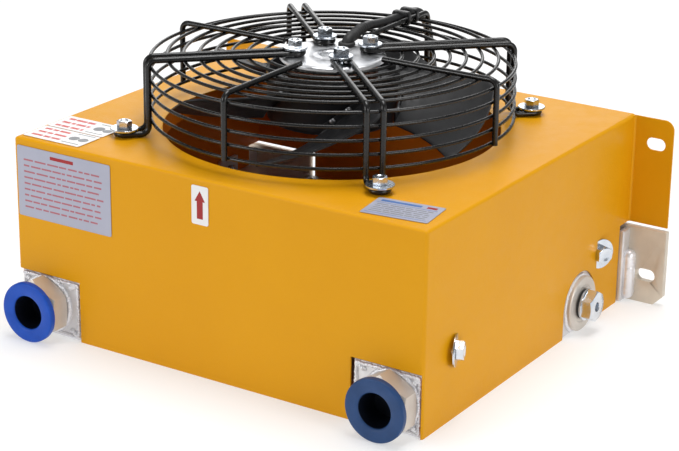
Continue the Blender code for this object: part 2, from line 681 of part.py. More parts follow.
def smooth_route(route, spacing):
    """Points at even steps along a Catmull-Rom curve through the route."""
    points = [Vector(p) + Vector((0, MID_Y, 0)) for p in route]
    padded = [2 * points[0] - points[1]] + points + [2 * points[-1] - points[-2]]
    fine = []
    for p0, p1, p2, p3 in zip(padded, padded[1:], padded[2:], padded[3:]):
        for i in range(12):
            t = i / 12
            fine.append(0.5 * ((2 * p1) + (p2 - p0) * t + (2 * p0 - 5 * p1 + 4 * p2 - p3) * t ** 2
                               + (3 * p1 - p0 - 3 * p2 + p3) * t ** 3))
    fine.append(points[-1])
    lengths = [0.0]
    for a, b in zip(fine, fine[1:]):
        lengths.append(lengths[-1] + (b - a).length)
    count = round(lengths[-1] / spacing)
    even, j = [], 0
    for i in range(count + 1):
        want = lengths[-1] * i / count
        while j < len(fine) - 2 and lengths[j + 1] < want:
            j += 1
        share = (want - lengths[j]) / (lengths[j + 1] - lengths[j])
        even.append(fine[j].lerp(fine[j + 1], share))
    return even


def tie_outline(half, low, high, cut=0.0026):
    """A box with its corners cut off, from the tie's middle."""
    return [(cut - half, -low), (half - cut, -low), (half, cut - low), (half, high - cut),
            (half - cut, high), (cut - half, high), (-half, high - cut), (-half, cut - low)]


def make_lead():
    """Boot in the hub plate, lead, its bare cores, and two ties round the rear rib."""
    boot_r = 0.0055
    rubber = material("lead_boot", BLACK, 0.7)
    boot = link("lead_boot", rod_mesh(0.0050, PLATE_TOP - PLATE_THICK, PLATE_TOP + 0.001, 16),
                rubber, (BOOT_X, BOOT_Y, 0))
    flange = link("boot_flange", rod_mesh(0.0065, PLATE_TOP + GAP, PLATE_TOP + 0.003, 20),
                  place=(BOOT_X, BOOT_Y, 0))
    sleeve = link("boot_sleeve", rod_mesh(boot_r, 0, 0.0105, 16),
                  place=(BOOT_X, BOOT_Y, PLATE_TOP + 0.0025), turn=(BOOT_TILT - math.pi / 2, 0, 0))
    trim = link("boot_trim", box_mesh((-0.02, -0.02, -0.02), (0.02, 0.02, 0)),
                place=(BOOT_X, BOOT_Y, PLATE_TOP + GAP))
    combine(sleeve, trim, "DIFFERENCE")
    combine(boot, flange, "UNION")
    combine(boot, sleeve, "UNION")

    route = smooth_route(LEAD_ROUTE, 0.0155)
    mesh = wires_mesh("motor_lead", [(route, False)], LEAD_R, 2)
    smooth(mesh)
    link("motor_lead", mesh, material("motor_lead", BLACK, 0.5))

    end = route[-1]
    core_r, core_len, core_ring = 0.0010, 0.018, 0.0016
    for i, colour in enumerate(CORE_COLOURS):
        a = 2 * math.pi * i / len(CORE_COLOURS) + math.pi / 2
        y, z = end.y + core_ring * math.cos(a), end.z + core_ring * math.sin(a)
        name = f"lead_core_{i + 1}"
        link(name, rod_mesh(core_r, 0, core_len, 10), material(name, colour, 0.5),
             (end.x - GAP, y, z), (0, -math.pi / 2, 0))

    # Each tie goes round the lead and the rear rib below it.
    centre_x, centre_z, thick, wide = -0.0040, RIB_Z + 0.0007, 0.0012, 0.0036
    half, low, high = 0.0067, 0.0035, 0.0054
    for i, y in enumerate(TIE_YS):
        outside = tie_outline(half + thick, low + thick, high + thick)
        mesh = outline_mesh([outside, tie_outline(half, low, high)], wide, (centre_x, y, centre_z),
                            (math.pi / 2, 0, 0))
        link(f"cable_tie_{i + 1}", mesh, material(f"cable_tie_{i + 1}", BLACK, 0.5))


# ---------------------------------------------------------------- labels
def make_labels():
    """Plain stickers and a thin name plate, without lettering."""
    thick = 0.0003
    white, silver = (0.8, 0.8, 0.8), (0.55, 0.56, 0.58)
    face = FRONT - GAP
    link("info_label", box_mesh((-0.1748, face - thick, 0.0915), (-0.0875, face, 0.1465)),
         material("info_label", silver, 0.4, 0.4))
    link("arrow_label", box_mesh((-0.0145, face - thick, 0.118), (0.0, face, 0.147)),
         material("arrow_label", white, 0.4))
    top = HEIGHT + GAP
    link("warning_label", box_mesh((-0.1745, FRONT + 0.006, top), (-0.1220, FRONT + 0.062, top + thick)),
         material("warning_label", white, 0.4))
    link("name_plate", box_mesh((-0.025, -0.0165, top), (0.025, 0.0165, top + thick)),
         material("name_plate", silver, 0.35, 0.6), (0.1435, FRONT + 0.0255, 0), (0, 0, math.radians(7)))


make_shroud()
make_core()
for tank_side, tank_sign in SIDES.items():
    make_tank(tank_side, tank_sign)
    make_port(tank_side, tank_sign)
    make_bracket(tank_side, tank_sign)
make_drain()
make_guard()
make_motor()
make_blades()
make_fasteners()
make_lead()
make_labels()
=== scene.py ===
"""Finished model of an air-blast hydraulic oil cooler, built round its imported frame."""
import math
import random

import bmesh
import bpy
from mathutils import Matrix, Vector


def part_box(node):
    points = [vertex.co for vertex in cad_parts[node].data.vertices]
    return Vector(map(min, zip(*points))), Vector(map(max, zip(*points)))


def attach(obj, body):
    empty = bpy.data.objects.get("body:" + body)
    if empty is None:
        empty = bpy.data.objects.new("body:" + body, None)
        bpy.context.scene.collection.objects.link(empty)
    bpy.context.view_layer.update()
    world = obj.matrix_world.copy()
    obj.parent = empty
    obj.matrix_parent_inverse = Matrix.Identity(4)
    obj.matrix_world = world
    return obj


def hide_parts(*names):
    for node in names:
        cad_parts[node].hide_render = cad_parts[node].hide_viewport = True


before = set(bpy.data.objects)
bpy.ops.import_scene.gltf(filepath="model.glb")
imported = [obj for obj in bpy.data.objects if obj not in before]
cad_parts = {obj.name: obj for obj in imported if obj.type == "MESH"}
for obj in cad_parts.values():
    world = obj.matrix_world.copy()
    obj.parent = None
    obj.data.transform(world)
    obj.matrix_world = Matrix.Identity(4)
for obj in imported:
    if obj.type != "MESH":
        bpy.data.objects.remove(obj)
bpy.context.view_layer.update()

# Camera: a long lens, level with the guard, that looks down on the front right corner.
AZIMUTH, ELEVATION, ROLL = math.radians(32.46), math.radians(20.29), math.radians(0.77)
FOCAL_MM, SENSOR_MM = 113.11, 36
EYE_ACROSS, EYE_UP, EYE_BACK = 0.0502, 0.4352, 10.9854   # in shroud heights from the fan's axis at the base


def corners(node):
    """A CAD node's lowest and highest corners."""
    return [Vector(corner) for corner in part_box(node)]


shroud_low, shroud_high = corners("shroud")
mid_y = (shroud_low.y + shroud_high.y) / 2
height = shroud_high.z
back = Vector((math.sin(AZIMUTH) * math.cos(ELEVATION), -math.cos(AZIMUTH) * math.cos(ELEVATION),
               math.sin(ELEVATION)))
level = Vector((math.cos(AZIMUTH), math.sin(AZIMUTH), 0))
above = back.cross(level)
across = math.cos(ROLL) * level + math.sin(ROLL) * above
upward = math.cos(ROLL) * above - math.sin(ROLL) * level
lens = bpy.data.cameras.new("studio_camera")
lens.sensor_width = SENSOR_MM
lens.lens = FOCAL_MM
camera = bpy.data.objects.new("studio_camera", lens)
bpy.context.scene.collection.objects.link(camera)
pose = Matrix((across, upward, back)).transposed().to_4x4()
pose.translation = Vector((0, mid_y, 0)) + height * (EYE_ACROSS * across + EYE_UP * upward + EYE_BACK * back)
camera.matrix_world = pose
bpy.context.scene.camera = camera


# Motor lead: a three-core PVC cable, 7 mm thick.  It leaves the boot in the hub plate,
# is tied to the rear rib, hangs down behind the shroud and ends in bare cores.
LEAD_ROUTE = [
    (-0.0030, 0.0349, 0.2145), (-0.0032, 0.0425, 0.2165), (-0.0045, 0.0560, 0.2166),
    (-0.0058, 0.0720, 0.2145), (-0.0065, 0.0880, 0.2129), (-0.0065, 0.1080, 0.2126),
    (-0.0065, 0.1250, 0.2124), (-0.0066, 0.1390, 0.2086), (-0.0067, 0.1500, 0.1976),
    (-0.0068, 0.1550, 0.1840), (-0.0069, 0.1590, 0.1700), (-0.0070, 0.1630, 0.1560),
    (-0.0070, 0.1648, 0.1400), (-0.0070, 0.1652, 0.1150), (-0.0070, 0.1650, 0.0800),
    (-0.0074, 0.1652, 0.0480), (-0.0100, 0.1658, 0.0240), (-0.0190, 0.1670, 0.0108),
    (-0.0320, 0.1685, 0.0052), (-0.0480, 0.1700, 0.0038), (-0.0720, 0.1722, 0.0038),
    (-0.0980, 0.1735, 0.0038), (-0.1240, 0.1725, 0.0038), (-0.1480, 0.1700, 0.0038),
    (-0.1650, 0.1690, 0.0038),
]


def through(route, steps):
    """Points on a smooth curve through the route."""
    points = [Vector(p) for p in route]
    padded = [2 * points[0] - points[1]] + points + [2 * points[-1] - points[-2]]
    curve = []
    for p0, p1, p2, p3 in zip(padded, padded[1:], padded[2:], padded[3:]):
        for i in range(steps):
            t = i / steps
            curve.append(0.5 * (2 * p1 + (p2 - p0) * t + (2 * p0 - 5 * p1 + 4 * p2 - p3) * t ** 2
                                + (3 * p1 - p0 - 3 * p2 + p3) * t ** 3))
    return curve + [points[-1]]


def wire_curve(name, points, radius, closed=False, sides=4):
    """A round wire or cable along a list of points."""
    data = bpy.data.curves.new(name, "CURVE")
    data.dimensions = "3D"
    data.bevel_depth = radius
    data.bevel_resolution = sides
    data.use_fill_caps = True
    spline = data.splines.new("POLY")
    spline.points.add(len(points) - 1)
    for point, co in zip(spline.points, points):
        point.co = (*co, 1)
    spline.use_cyclic_u = closed
    spline.use_smooth = True
    ob = bpy.data.objects.new(name, data)
    bpy.context.scene.collection.objects.link(ob)
    return ob


def add(tree, kind, inputs=None, **settings):
    """Add a node; an input is given a value, or the socket that feeds it."""
    node = tree.nodes.new(kind)
    for key, value in settings.items():
        setattr(node, key, value)
    for key, value in (inputs or {}).items():
        if isinstance(value, bpy.types.NodeSocket):
            tree.links.new(value, node.inputs[key])
        else:
            node.inputs[key].default_value = value
    return node


def finish(name, roughness, metallic=0.0):
    """A new Principled finish: the material, its tree and its shader."""
    mat = bpy.data.materials.new(name)
    mat.use_nodes = True
    shader = mat.node_tree.nodes["Principled BSDF"]
    shader.inputs["Roughness"].default_value = roughness
    shader.inputs["Metallic"].default_value = metallic
    return mat, mat.node_tree, shader


def mottle(tree, scale, detail=3.0, stretch=(1, 1, 1)):
    """Noise from 0 to 1 fixed to the piece; scale is in spots a metre."""
    place = add(tree, "ShaderNodeTexCoord").outputs["Object"]
    mapped = add(tree, "ShaderNodeMapping", {"Vector": place, "Scale": stretch})
    noise = add(tree, "ShaderNodeTexNoise", {"Vector": mapped.outputs[0], "Scale": scale, "Detail": detail})
    return noise.outputs[0]


def shade(tree, factor, stops):
    """Colours, or greys, along a factor."""
    ramp = add(tree, "ShaderNodeValToRGB", {"Fac": factor})
    while len(ramp.color_ramp.elements) < len(stops):
        ramp.color_ramp.elements.new(0.5)
    for element, (at, colour) in zip(ramp.color_ramp.elements, stops):
        element.position = at
        grey = isinstance(colour, (int, float))
        element.color = (colour, colour, colour, 1) if grey else (*colour, 1)
    return ramp.outputs["Color"]


def relief(tree, shader, depth, *heights):
    """Raise and sink the surface by one or more heights, depth in metres."""
    normal = None
    for level_height in heights:
        inputs = {"Height": level_height, "Distance": depth, "Strength": 1.0}
        if normal is not None:
            inputs["Normal"] = normal
        normal = add(tree, "ShaderNodeBump", inputs).outputs[0]
    tree.links.new(normal, shader.inputs["Normal"])


def uneven(name, tones, rough, clouds, gloss, depth, *grains, stops=(0.3, 0.7), **sockets):
    """A finish whose colour, gloss and skin vary; clouds, gloss and grains are for mottle."""
    mat, tree, shader = finish(name, rough[0])
    for socket, value in sockets.items():
        shader.inputs[socket.replace("_", " ")].default_value = value
    tree.links.new(shade(tree, mottle(tree, *clouds), list(zip(stops, tones))), shader.inputs["Base Color"])
    dull = shade(tree, mottle(tree, *gloss), list(zip((0.3, 0.7), rough)))
    tree.links.new(dull, shader.inputs["Roughness"])
    relief(tree, shader, depth, *(mottle(tree, *grain) for grain in grains))
    return mat


def plastic_finish(name, dark, light, rough, grain=1500, depth=0.00006):
    """Moulded plastic, rubber or cable sheath with a fine uneven skin."""
    return uneven(name, (dark, light), rough, (60,), (240,), depth, (grain, 2))


sheath = plastic_finish("cable_sheath", (0.010, 0.010, 0.011), (0.020, 0.020, 0.021), (0.38, 0.5))
LEAD_ROUTE = [(x, y + mid_y, z) for x, y, z in LEAD_ROUTE]
lead_path = through(LEAD_ROUTE, 10)
lead = wire_curve("cable", lead_path, 0.0035, sides=6)
lead.data.materials.append(sheath)
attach(lead, "cooler")
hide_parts("motor_lead")


def settled(ob):
    """The object's final shape as a plain mesh in place; the object goes."""
    bpy.context.view_layer.update()
    graph = bpy.context.evaluated_depsgraph_get()
    mesh = bpy.data.meshes.new_from_object(ob.evaluated_get(graph))
    mesh.transform(ob.matrix_world)
    data = ob.data
    bpy.data.objects.remove(ob, do_unlink=True)
    if data.users == 0 and isinstance(data, bpy.types.Mesh):
        bpy.data.meshes.remove(data)
    return mesh


def crisp(mesh, angle=32):
    """Smooth shading with sharp creases."""
    mesh.shade_smooth()
    mesh.set_sharp_from_angle(angle=math.radians(angle))
    return mesh


def fit(name, mesh, mats, body, slot, *nodes):
    """Put a finished mesh on its body; it may stand for CAD nodes."""
    mesh.name = name
    ob = bpy.data.objects.new(name, mesh)
    bpy.context.scene.collection.objects.link(ob)
    if mats is not None:
        numbers = [face.material_index for face in mesh.polygons]
        mesh.materials.clear()
        for mat in mats if isinstance(mats, (list, tuple)) else [mats]:
            mesh.materials.append(mat)
        mesh.polygons.foreach_set("material_index", [min(n, len(mesh.materials) - 1) for n in numbers])
    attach(ob, body)
    if nodes:
        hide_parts(*nodes)
    return ob


def turned(profile, steps, ring=False, place=None):
    """Turn a profile of (radius, height) about Z; the profile may vary with the angle."""
    bm = bmesh.new()
    columns = []
    for i in range(steps):
        a = 2 * math.pi * i / steps
        points = profile(a) if callable(profile) else profile
        columns.append([bm.verts.new((r * math.cos(a), r * math.sin(a), z)) for r, z in points])
    count = len(columns[0])
    for near, far in zip(columns, columns[1:] + columns[:1]):
        for j in range(count if ring else count - 1):
            k = (j + 1) % count
            bm.faces.new((near[j], far[j], far[k], near[k]))
    bmesh.ops.remove_doubles(bm, verts=bm.verts, dist=1e-7)
    bmesh.ops.recalc_face_normals(bm, faces=bm.faces)
    mesh = bpy.data.meshes.new("turned")
    bm.to_mesh(mesh)
    bm.free()
    if place is not None:
        mesh.transform(place)
    return crisp(mesh)


# Lead cores: brown, blue and green-yellow insulation, each with a tinned end.
tin, tin_tree, tin_shader = finish("tinned_copper", 0.3, 1.0)
tin_shader.inputs["Base Color"].default_value = (0.72, 0.70, 0.68, 1)
relief(tin_tree, tin_shader, 0.0001, mottle(tin_tree, 2500, 2, (0.1, 1, 1)))
core_colours = [((0.16, 0.055, 0.02), (0.22, 0.08, 0.03)), ((0.015, 0.07, 0.36), (0.03, 0.11, 0.45)),
                ((0.28, 0.42, 0.02), (0.55, 0.60, 0.03))]
core_slots = ("core_brown", "core_blue", "core_green_yellow")
for i, (dark, light) in enumerate(core_colours):
    low, high = corners(f"lead_core_{i + 1}")
    radius = (high.z - low.z) / 2
    bare = 0.006
    start = Vector((high.x, (low.y + high.y) / 2, (low.z + high.z) / 2))
    run = high.x - low.x
    skin = [(0, 0), (radius, 0), (radius, run - bare - 0.0003), (radius - 0.0003, run - bare),
            (0.65 * radius, run - bare)]
    strand = [(0.65 * radius, run - bare), (0.65 * radius, run - 0.0004), (0.45 * radius, run), (0, run)]
    along = Matrix.Translation(start) @ Matrix.Rotation(-math.pi / 2, 4, "Y")
    mesh = turned(skin + strand[1:], 20, place=along)
    for face in mesh.polygons:
        face.material_index = 1 if face.center.x < low.x + bare else 0
    insulation = plastic_finish(core_slots[i], dark, light, (0.3, 0.42), 900)
    fit(f"cable_core_{i + 1}", mesh, [insulation, tin], "cooler", core_slots[i],
                     f"lead_core_{i + 1}")


# Studio: a pale floor and soft light from panels above, in front, on the right and behind.
bpy.context.scene.view_settings.view_transform = "Standard"
floor_mesh = bpy.data.meshes.new("studio_floor")
bm = bmesh.new()
bmesh.ops.create_grid(bm, x_segments=1, y_segments=1, size=6)
bm.to_mesh(floor_mesh)
bm.free()
floor = bpy.data.objects.new("studio_floor", floor_mesh)
bpy.context.scene.collection.objects.link(floor)
pale, _, pale_shader = finish("pale_floor", 0.9)
FLOOR_GLOW, FLOOR_TONE, SKY = 0.43, 0.62, 0.25
pale_shader.inputs["Base Color"].default_value = (FLOOR_TONE, FLOOR_TONE, FLOOR_TONE, 1)
pale_shader.inputs["Specular IOR Level"].default_value = 0.0
pale_shader.inputs["Emission Color"].default_value = (1, 1, 1, 1)
pale_shader.inputs["Emission Strength"].default_value = FLOOR_GLOW
floor_mesh.materials.append(pale)
world = bpy.data.worlds.new("studio")
world.use_nodes = True
world.node_tree.nodes["Background"].inputs["Color"].default_value = (1, 1, 1, 1)
world.node_tree.nodes["Background"].inputs["Strength"].default_value = SKY
bpy.context.scene.world = world
PANELS = [("top_panel", (0.1, 0.3, 2.2), 1.3, 37), ("left_panel", (-1.1, -1.9, 0.9), 0.9, 16),
          ("right_panel", (2.0, -0.5, 0.8), 0.9, 12), ("back_panel", (-1.3, 2.2, 1.1), 1.6, 13)]
AIM = Vector((0, 0, 0.08))
for name, place, size, power in PANELS:
    lamp = bpy.data.lights.new(name, "AREA")
    lamp.energy = power
    lamp.size = size
    panel = bpy.data.objects.new(name, lamp)
    panel.location = place
    panel.rotation_euler = (AIM - Vector(place)).to_track_quat("-Z", "Y").to_euler()
    bpy.context.scene.collection.objects.link(panel)


# Shroud: one folded sheet-steel box, 1.5 mm thick and powder coated yellow.  The fan's
# inlet collar is pressed into its top; the rear plate carries the two slotted ears.
SHEET = 0.0015
FOLD = 0.0025
SLOT_LONG, SLOT_WIDE, SLOT_X = 0.016, 0.010, 0.1968
EAR_ROUND, BACK_LOW, COLLAR_DEEP = 0.008, 0.0004, 0.014


def arc(centre, radius, start, end, steps):
    """Points on an arc, ends included, angles in degrees."""
    angles = [math.radians(start + (end - start) * i / steps) for i in range(steps + 1)]
    return [(centre[0] + radius * math.cos(a), centre[1] + radius * math.sin(a)) for a in angles]


def rounded_box(x0, y0, x1, y1, corner, steps):
    """A rectangle with rounded corners."""
    points = []
    for x, y, start in ((x1 - corner, y1 - corner, 0), (x0 + corner, y1 - corner, 90),
                        (x0 + corner, y0 + corner, 180), (x1 - corner, y0 + corner, 270)):
        points += arc((x, y), corner, start, start + 90, steps)
    return points


def slot_outline(x, z):
    """A round-ended slot lying along X."""
    half = (SLOT_LONG - SLOT_WIDE) / 2
    return arc((x + half, z), SLOT_WIDE / 2, -90, 90, 16) + arc((x - half, z), SLOT_WIDE / 2, 90, 270, 16)


def plate(loops, thickness, place):
    """A flat outline with holes, given thickness about its own plane."""
    data = bpy.data.curves.new("outline", "CURVE")
    data.dimensions = "2D"
    data.fill_mode = "BOTH"
    data.extrude = thickness / 2
    for loop in loops:
        spline = data.splines.new("POLY")
        spline.points.add(len(loop) - 1)
        for point, (x, y) in zip(spline.points, loop):
            point.co = (x, y, 0, 1)
        spline.use_cyclic_u = True
    ob = bpy.data.objects.new("outline", data)
    bpy.context.scene.collection.objects.link(ob)
    mesh = settled(ob)
    bm = bmesh.new()
    bm.from_mesh(mesh)
    bmesh.ops.remove_doubles(bm, verts=bm.verts, dist=1e-6)
    bmesh.ops.recalc_face_normals(bm, faces=bm.faces)
    bm.to_mesh(mesh)
    bm.free()
    mesh.transform(place)
    return mesh


def block(low, high):
    """A box between two corners."""
    bm = bmesh.new()
    bmesh.ops.create_cube(bm, size=1.0)
    bmesh.ops.scale(bm, vec=Vector(high) - Vector(low), verts=bm.verts)
    bmesh.ops.translate(bm, vec=(Vector(low) + Vector(high)) / 2, verts=bm.verts)
    mesh = bpy.data.meshes.new("block")
    bm.to_mesh(mesh)
    bm.free()
    return mesh


def loose(mesh):
    """A temporary object for a mesh."""
    ob = bpy.data.objects.new("work", mesh)
    bpy.context.scene.collection.objects.link(ob)
    return ob


def worked(mesh, joins=(), cuts=()):
    """Weld meshes on and cut others out, in that order."""
    target = loose(mesh)
    tools = []
    for operation, pieces in (("UNION", joins), ("DIFFERENCE", cuts)):
        for tool in pieces:
            tools.append(loose(tool))
            step = target.modifiers.new("work", "BOOLEAN")
            step.operation = operation
            step.object = tools[-1]
    result = settled(target)
    for tool in tools:
        bpy.data.objects.remove(tool, do_unlink=True)
    return result


def eased(mesh, width, segments=2, angle=35):
    """Round the sharp edges of a mesh."""
    ob = loose(mesh)
    bevel = ob.modifiers.new("ease", "BEVEL")
    bevel.width = width
    bevel.segments = segments
    bevel.limit_method = "ANGLE"
    bevel.angle_limit = math.radians(angle)
    bevel.use_clamp_overlap = True
    return settled(ob)


def together(*meshes):
    """Several bodies in one mesh; each keeps its materials' numbers."""
    bm = bmesh.new()
    for mesh in meshes:
        bm.from_mesh(mesh)
    whole = bpy.data.meshes.new("together")
    bm.to_mesh(whole)
    bm.free()
    return whole


ON_END = Matrix.Rotation(math.pi / 2, 4, "X")            # a drawing's Y becomes Z, +Z becomes -Y
ON_SIDE = Matrix.Rotation(math.pi / 2, 4, "Z") @ ON_END   # a drawing's X becomes Y, +Z becomes +X


def rod(radius, low, high, steps=48, place=None):
    """A plain cylinder along Z."""
    return turned([(0, low), (radius, low), (radius, high), (0, high)], steps, place=place)


SIDE = 0.178
front, rear = shroud_low.y, shroud_high.y
ear_out = shroud_high.x
ear_low = 0.0643
fan_hole = 0.128
side_screws = (mid_y - 0.118, mid_y + 0.1075)
screw_z = 0.0525
bm = bmesh.new()
bmesh.ops.create_cube(bm, size=1.0)
bmesh.ops.scale(bm, vec=(2 * SIDE, rear - SHEET / 2 - front, height), verts=bm.verts)
bmesh.ops.translate(bm, vec=(0, (rear - SHEET / 2 + front) / 2, height / 2), verts=bm.verts)
bmesh.ops.delete(bm, geom=[f for f in bm.faces if f.normal.z < -0.5 or f.normal.y > 0.5], context="FACES")
bmesh.ops.bevel(bm, geom=[e for e in bm.edges if len(e.link_faces) == 2], offset=FOLD, segments=6,
                profile=0.5, affect="EDGES")
hood = bpy.data.meshes.new("hood")
bm.to_mesh(hood)
bm.free()
hood_ob = loose(hood)
wall = hood_ob.modifiers.new("sheet", "SOLIDIFY")
wall.thickness = SHEET
wall.offset = -1
wall.use_even_offset = True
hood = settled(hood_ob)

ear_top = height - SHEET / 2
ear_slot_z = 0.1308
half_back = [(ear_out, BACK_LOW)] + arc((ear_out - EAR_ROUND, ear_top - EAR_ROUND), EAR_ROUND, 0, 90, 10)
back_plate = plate([half_back + [(-x, z) for x, z in reversed(half_back)],
                    slot_outline(SLOT_X, ear_slot_z), slot_outline(-SLOT_X, ear_slot_z)],
                   SHEET, Matrix.Translation((0, rear - SHEET / 2, 0)) @ ON_END)
collar = turned([(fan_hole + SHEET, height - SHEET / 2), (fan_hole + SHEET, height - COLLAR_DEEP),
                 (fan_hole, height - COLLAR_DEEP), (fan_hole, height - SHEET / 2)], 144, ring=True)
collar.transform(Matrix.Translation((0, mid_y, 0)))
bend = 0.0022
bite = 0.0001
folds = []
for sign in (-1, 1):
    near, far, inner = SIDE - 0.0007, SIDE - bite + bend, rear - SHEET + bite
    corner = [(near, inner - bend), (near, inner + 0.0006), (far, inner + 0.0006)]
    corner += [(far - bend * math.sin(a), inner - bend + bend * math.cos(a))
               for a in [math.radians(90 * i / 6) for i in range(7)]]
    folds.append(plate([[(sign * x, y) for x, y in corner]], ear_top - ear_low,
                       Matrix.Translation((0, 0, (ear_top + ear_low) / 2))))

past = 0.001
cuts = [rod(fan_hole, height - 0.02, height + 0.01, 144, Matrix.Translation((0, mid_y, 0))),
        block((0.1195, front - past, -past), (SIDE - SHEET, front + 0.004, 0.048)),
        block((-SIDE - past, front - past, -past), (-0.1195, front + 0.005, 0.048))]
for sign in (-1, 1):
    near, far = sorted((sign * 0.118, sign * (ear_out + past)))
    cuts.append(block((near, rear - 0.017, -past), (far, rear + past, ear_low)))
drain_y, drain_z = mid_y + 0.076, 0.022
arch = [(drain_y - 0.026, -past), (drain_y + 0.026, -past)] + arc((drain_y, 0.021), 0.026, 0, 180, 40)
cuts.append(plate([arch], 0.01, Matrix.Translation((SIDE, 0, 0)) @ ON_SIDE))
shroud = together(worked(worked(hood, [back_plate], cuts), [collar]), *folds)


def powder_coat(name, dark, light):
    """Yellow powder coat with a fine orange-peel skin."""
    return uneven(name, (dark, light), (0.36, 0.46), (9, 4), (90,), 0.00012, (420, 1), (1500, 2),
                  stops=(0.25, 0.75), Coat_Weight=0.03, Coat_Roughness=0.22, Specular_IOR_Level=0.15)


outside = powder_coat("yellow_powder_coat", (0.73, 0.325, 0.003), (0.77, 0.355, 0.004))
# The inside faces take a darker, redder copy of the yellow coat: painted shade and painted bounce light
# inside the housing, not a different paint.
inner_painted_shade = powder_coat("inner_powder_coat", (0.66, 0.15, 0.003), (0.72, 0.17, 0.004))
crisp(shroud)
WITHIN = 0.001
# Faces inside the box take that painted-shade coat; the back plate's lower edge keeps the outer coat.
for face in shroud.polygons:
    at = face.center
    between = abs(at.x) < SIDE - WITHIN and front + WITHIN < at.y < rear - WITHIN and at.z < height - WITHIN
    lower_edge = abs(at.z - BACK_LOW) <= 0.0005
    face.material_index = int(between and not lower_edge)
fit("shroud_housing", shroud, [outside, inner_painted_shade], "cooler", "shroud_paint", "shroud")


# Oil core: brazed aluminium stack of flat oil tubes with corrugated air fins between
# them, closed at each end of a row by a bar, and one plain plate front and rear.
AIR_ROWS = 18
TUBE_THICK, END_BAR, FIN_PITCH, FIN_SHEET = 0.0046, 0.005, 0.0032, 0.0003


def new_tree(name, **sockets):
    """A Geometry Nodes tree with named inputs: the tree, and its inputs' sockets."""
    tree = bpy.data.node_groups.new(name, "GeometryNodeTree")
    for socket, kind in sockets.items():
        tree.interface.new_socket(socket.replace("_", " "), in_out="INPUT", socket_type="NodeSocket" + kind)
    tree.interface.new_socket("Geometry", in_out="OUTPUT", socket_type="NodeSocketGeometry")
    return tree, add(tree, "NodeGroupInput").outputs


def close_tree(tree, geometry, mat):
    """End a tree with its material."""
    coloured = add(tree, "GeometryNodeSetMaterial", {"Geometry": geometry, "Material": mat})
    add(tree, "NodeGroupOutput", {"Geometry": coloured.outputs[0]})


copies, given = new_tree("set_out_copies", Places="Geometry", Piece="Object", Finish="Material")
one = add(copies, "GeometryNodeObjectInfo", {"Object": given["Piece"]})
turn = add(copies, "GeometryNodeInputNamedAttribute", {"Name": "turn"}, data_type="FLOAT_VECTOR")
size = add(copies, "GeometryNodeInputNamedAttribute", {"Name": "size"}, data_type="FLOAT_VECTOR")
placed = add(copies, "GeometryNodeInstanceOnPoints", {
    "Points": given["Places"], "Instance": one.outputs["Geometry"], "Rotation": turn.outputs[0],
    "Scale": size.outputs[0]})
real = add(copies, "GeometryNodeRealizeInstances", {"Geometry": placed.outputs[0]})
close_tree(copies, real.outputs[0], given["Finish"])


def choose(modifier, **values):
    """Set a Geometry Nodes modifier's named inputs."""
    for item in modifier.node_group.interface.items_tree:
        key = item.name.replace(" ", "_")
        if item.in_out == "INPUT" and key in values:
            modifier[item.identifier] = values[key]


def set_out(master, places, mat):
    """Copies of one mesh at (place, turn, size), as one mesh."""
    spots = bpy.data.meshes.new("spots")
    spots.from_pydata([place for place, _, _ in places], [], [])
    for name, column in (("turn", 1), ("size", 2)):
        values = spots.attributes.new(name, "FLOAT_VECTOR", "POINT")
        values.data.foreach_set("vector", [c for row in places for c in row[column]])
    one_piece = loose(master)
    ob = loose(spots)
    step = ob.modifiers.new("copies", "NODES")
    step.node_group = copies
    choose(step, Piece=one_piece, Finish=mat)
    mesh = settled(ob)
    bpy.data.objects.remove(one_piece, do_unlink=True)
    return mesh


def metal_finish(name, dark, light, rough, grain=900, depth=0.00003, stretch=(1, 1, 1), metallic=1.0):
    """Bare or plated metal: slightly uneven colour, gloss and skin."""
    return uneven(name, (dark, light), rough, (45, 4), (160, 3, stretch), depth, (grain, 3, stretch),
                  Metallic=metallic)


STRAIGHT, FULL = (0, 0, 0), (1, 1, 1)
core_low, core_high = corners("oil_core")
core_middle = (core_low + core_high) / 2
core_deep = core_high.z - core_low.z
row_pitch = (core_high.y - core_low.y) / AIR_ROWS
fin_tall = row_pitch - TUBE_THICK
core_metal = metal_finish("brazed_aluminium", (0.52, 0.52, 0.52), (0.66, 0.66, 0.65), (0.38, 0.55))
tube = eased(block((core_low.x, -TUBE_THICK / 2, core_low.z), (core_high.x, TUBE_THICK / 2, core_high.z)),
             0.0006)
half_tube = block((core_low.x, 0, -core_deep / 2), (core_high.x, TUBE_THICK / 2, core_deep / 2))
bar = eased(block((0, 0, core_low.z), (END_BAR, fin_tall, core_high.z)), 0.0004)
fin_reach = core_high.x - END_BAR
fin_count = int(2 * fin_reach / FIN_PITCH)
fin_pitch = 2 * fin_reach / fin_count
lean = math.atan2(fin_pitch / 2 - FIN_SHEET, fin_tall)
leaf_long = fin_tall / math.cos(lean) - FIN_SHEET
leaf = block((-FIN_SHEET / 2, -leaf_long / 2, -core_deep / 2), (FIN_SHEET / 2, leaf_long / 2, core_deep / 2))
tubes, bars, leaves = [], [], []
for row in range(AIR_ROWS):
    low_y = core_low.y + row * row_pitch + TUBE_THICK / 2
    if row:
        tubes.append(((0, core_low.y + row * row_pitch, 0), STRAIGHT, FULL))
    bars += [((core_low.x, low_y, 0), STRAIGHT, FULL), ((fin_reach, low_y, 0), STRAIGHT, FULL)]
    for i in range(fin_count):
        for half, side in ((0.25, -1), (0.75, 1)):
            place = (-fin_reach + (i + half) * fin_pitch, low_y + fin_tall / 2, core_middle.z)
            leaves.append((place, (0, 0, side * lean), FULL))
end_tubes = [((0, core_low.y, core_middle.z), STRAIGHT, FULL),
             ((0, core_high.y, core_middle.z), (math.pi, 0, 0), FULL)]
stack = together(set_out(tube, tubes, core_metal), set_out(half_tube, end_tubes, core_metal),
                 set_out(bar, bars, core_metal), set_out(leaf, leaves, core_metal))
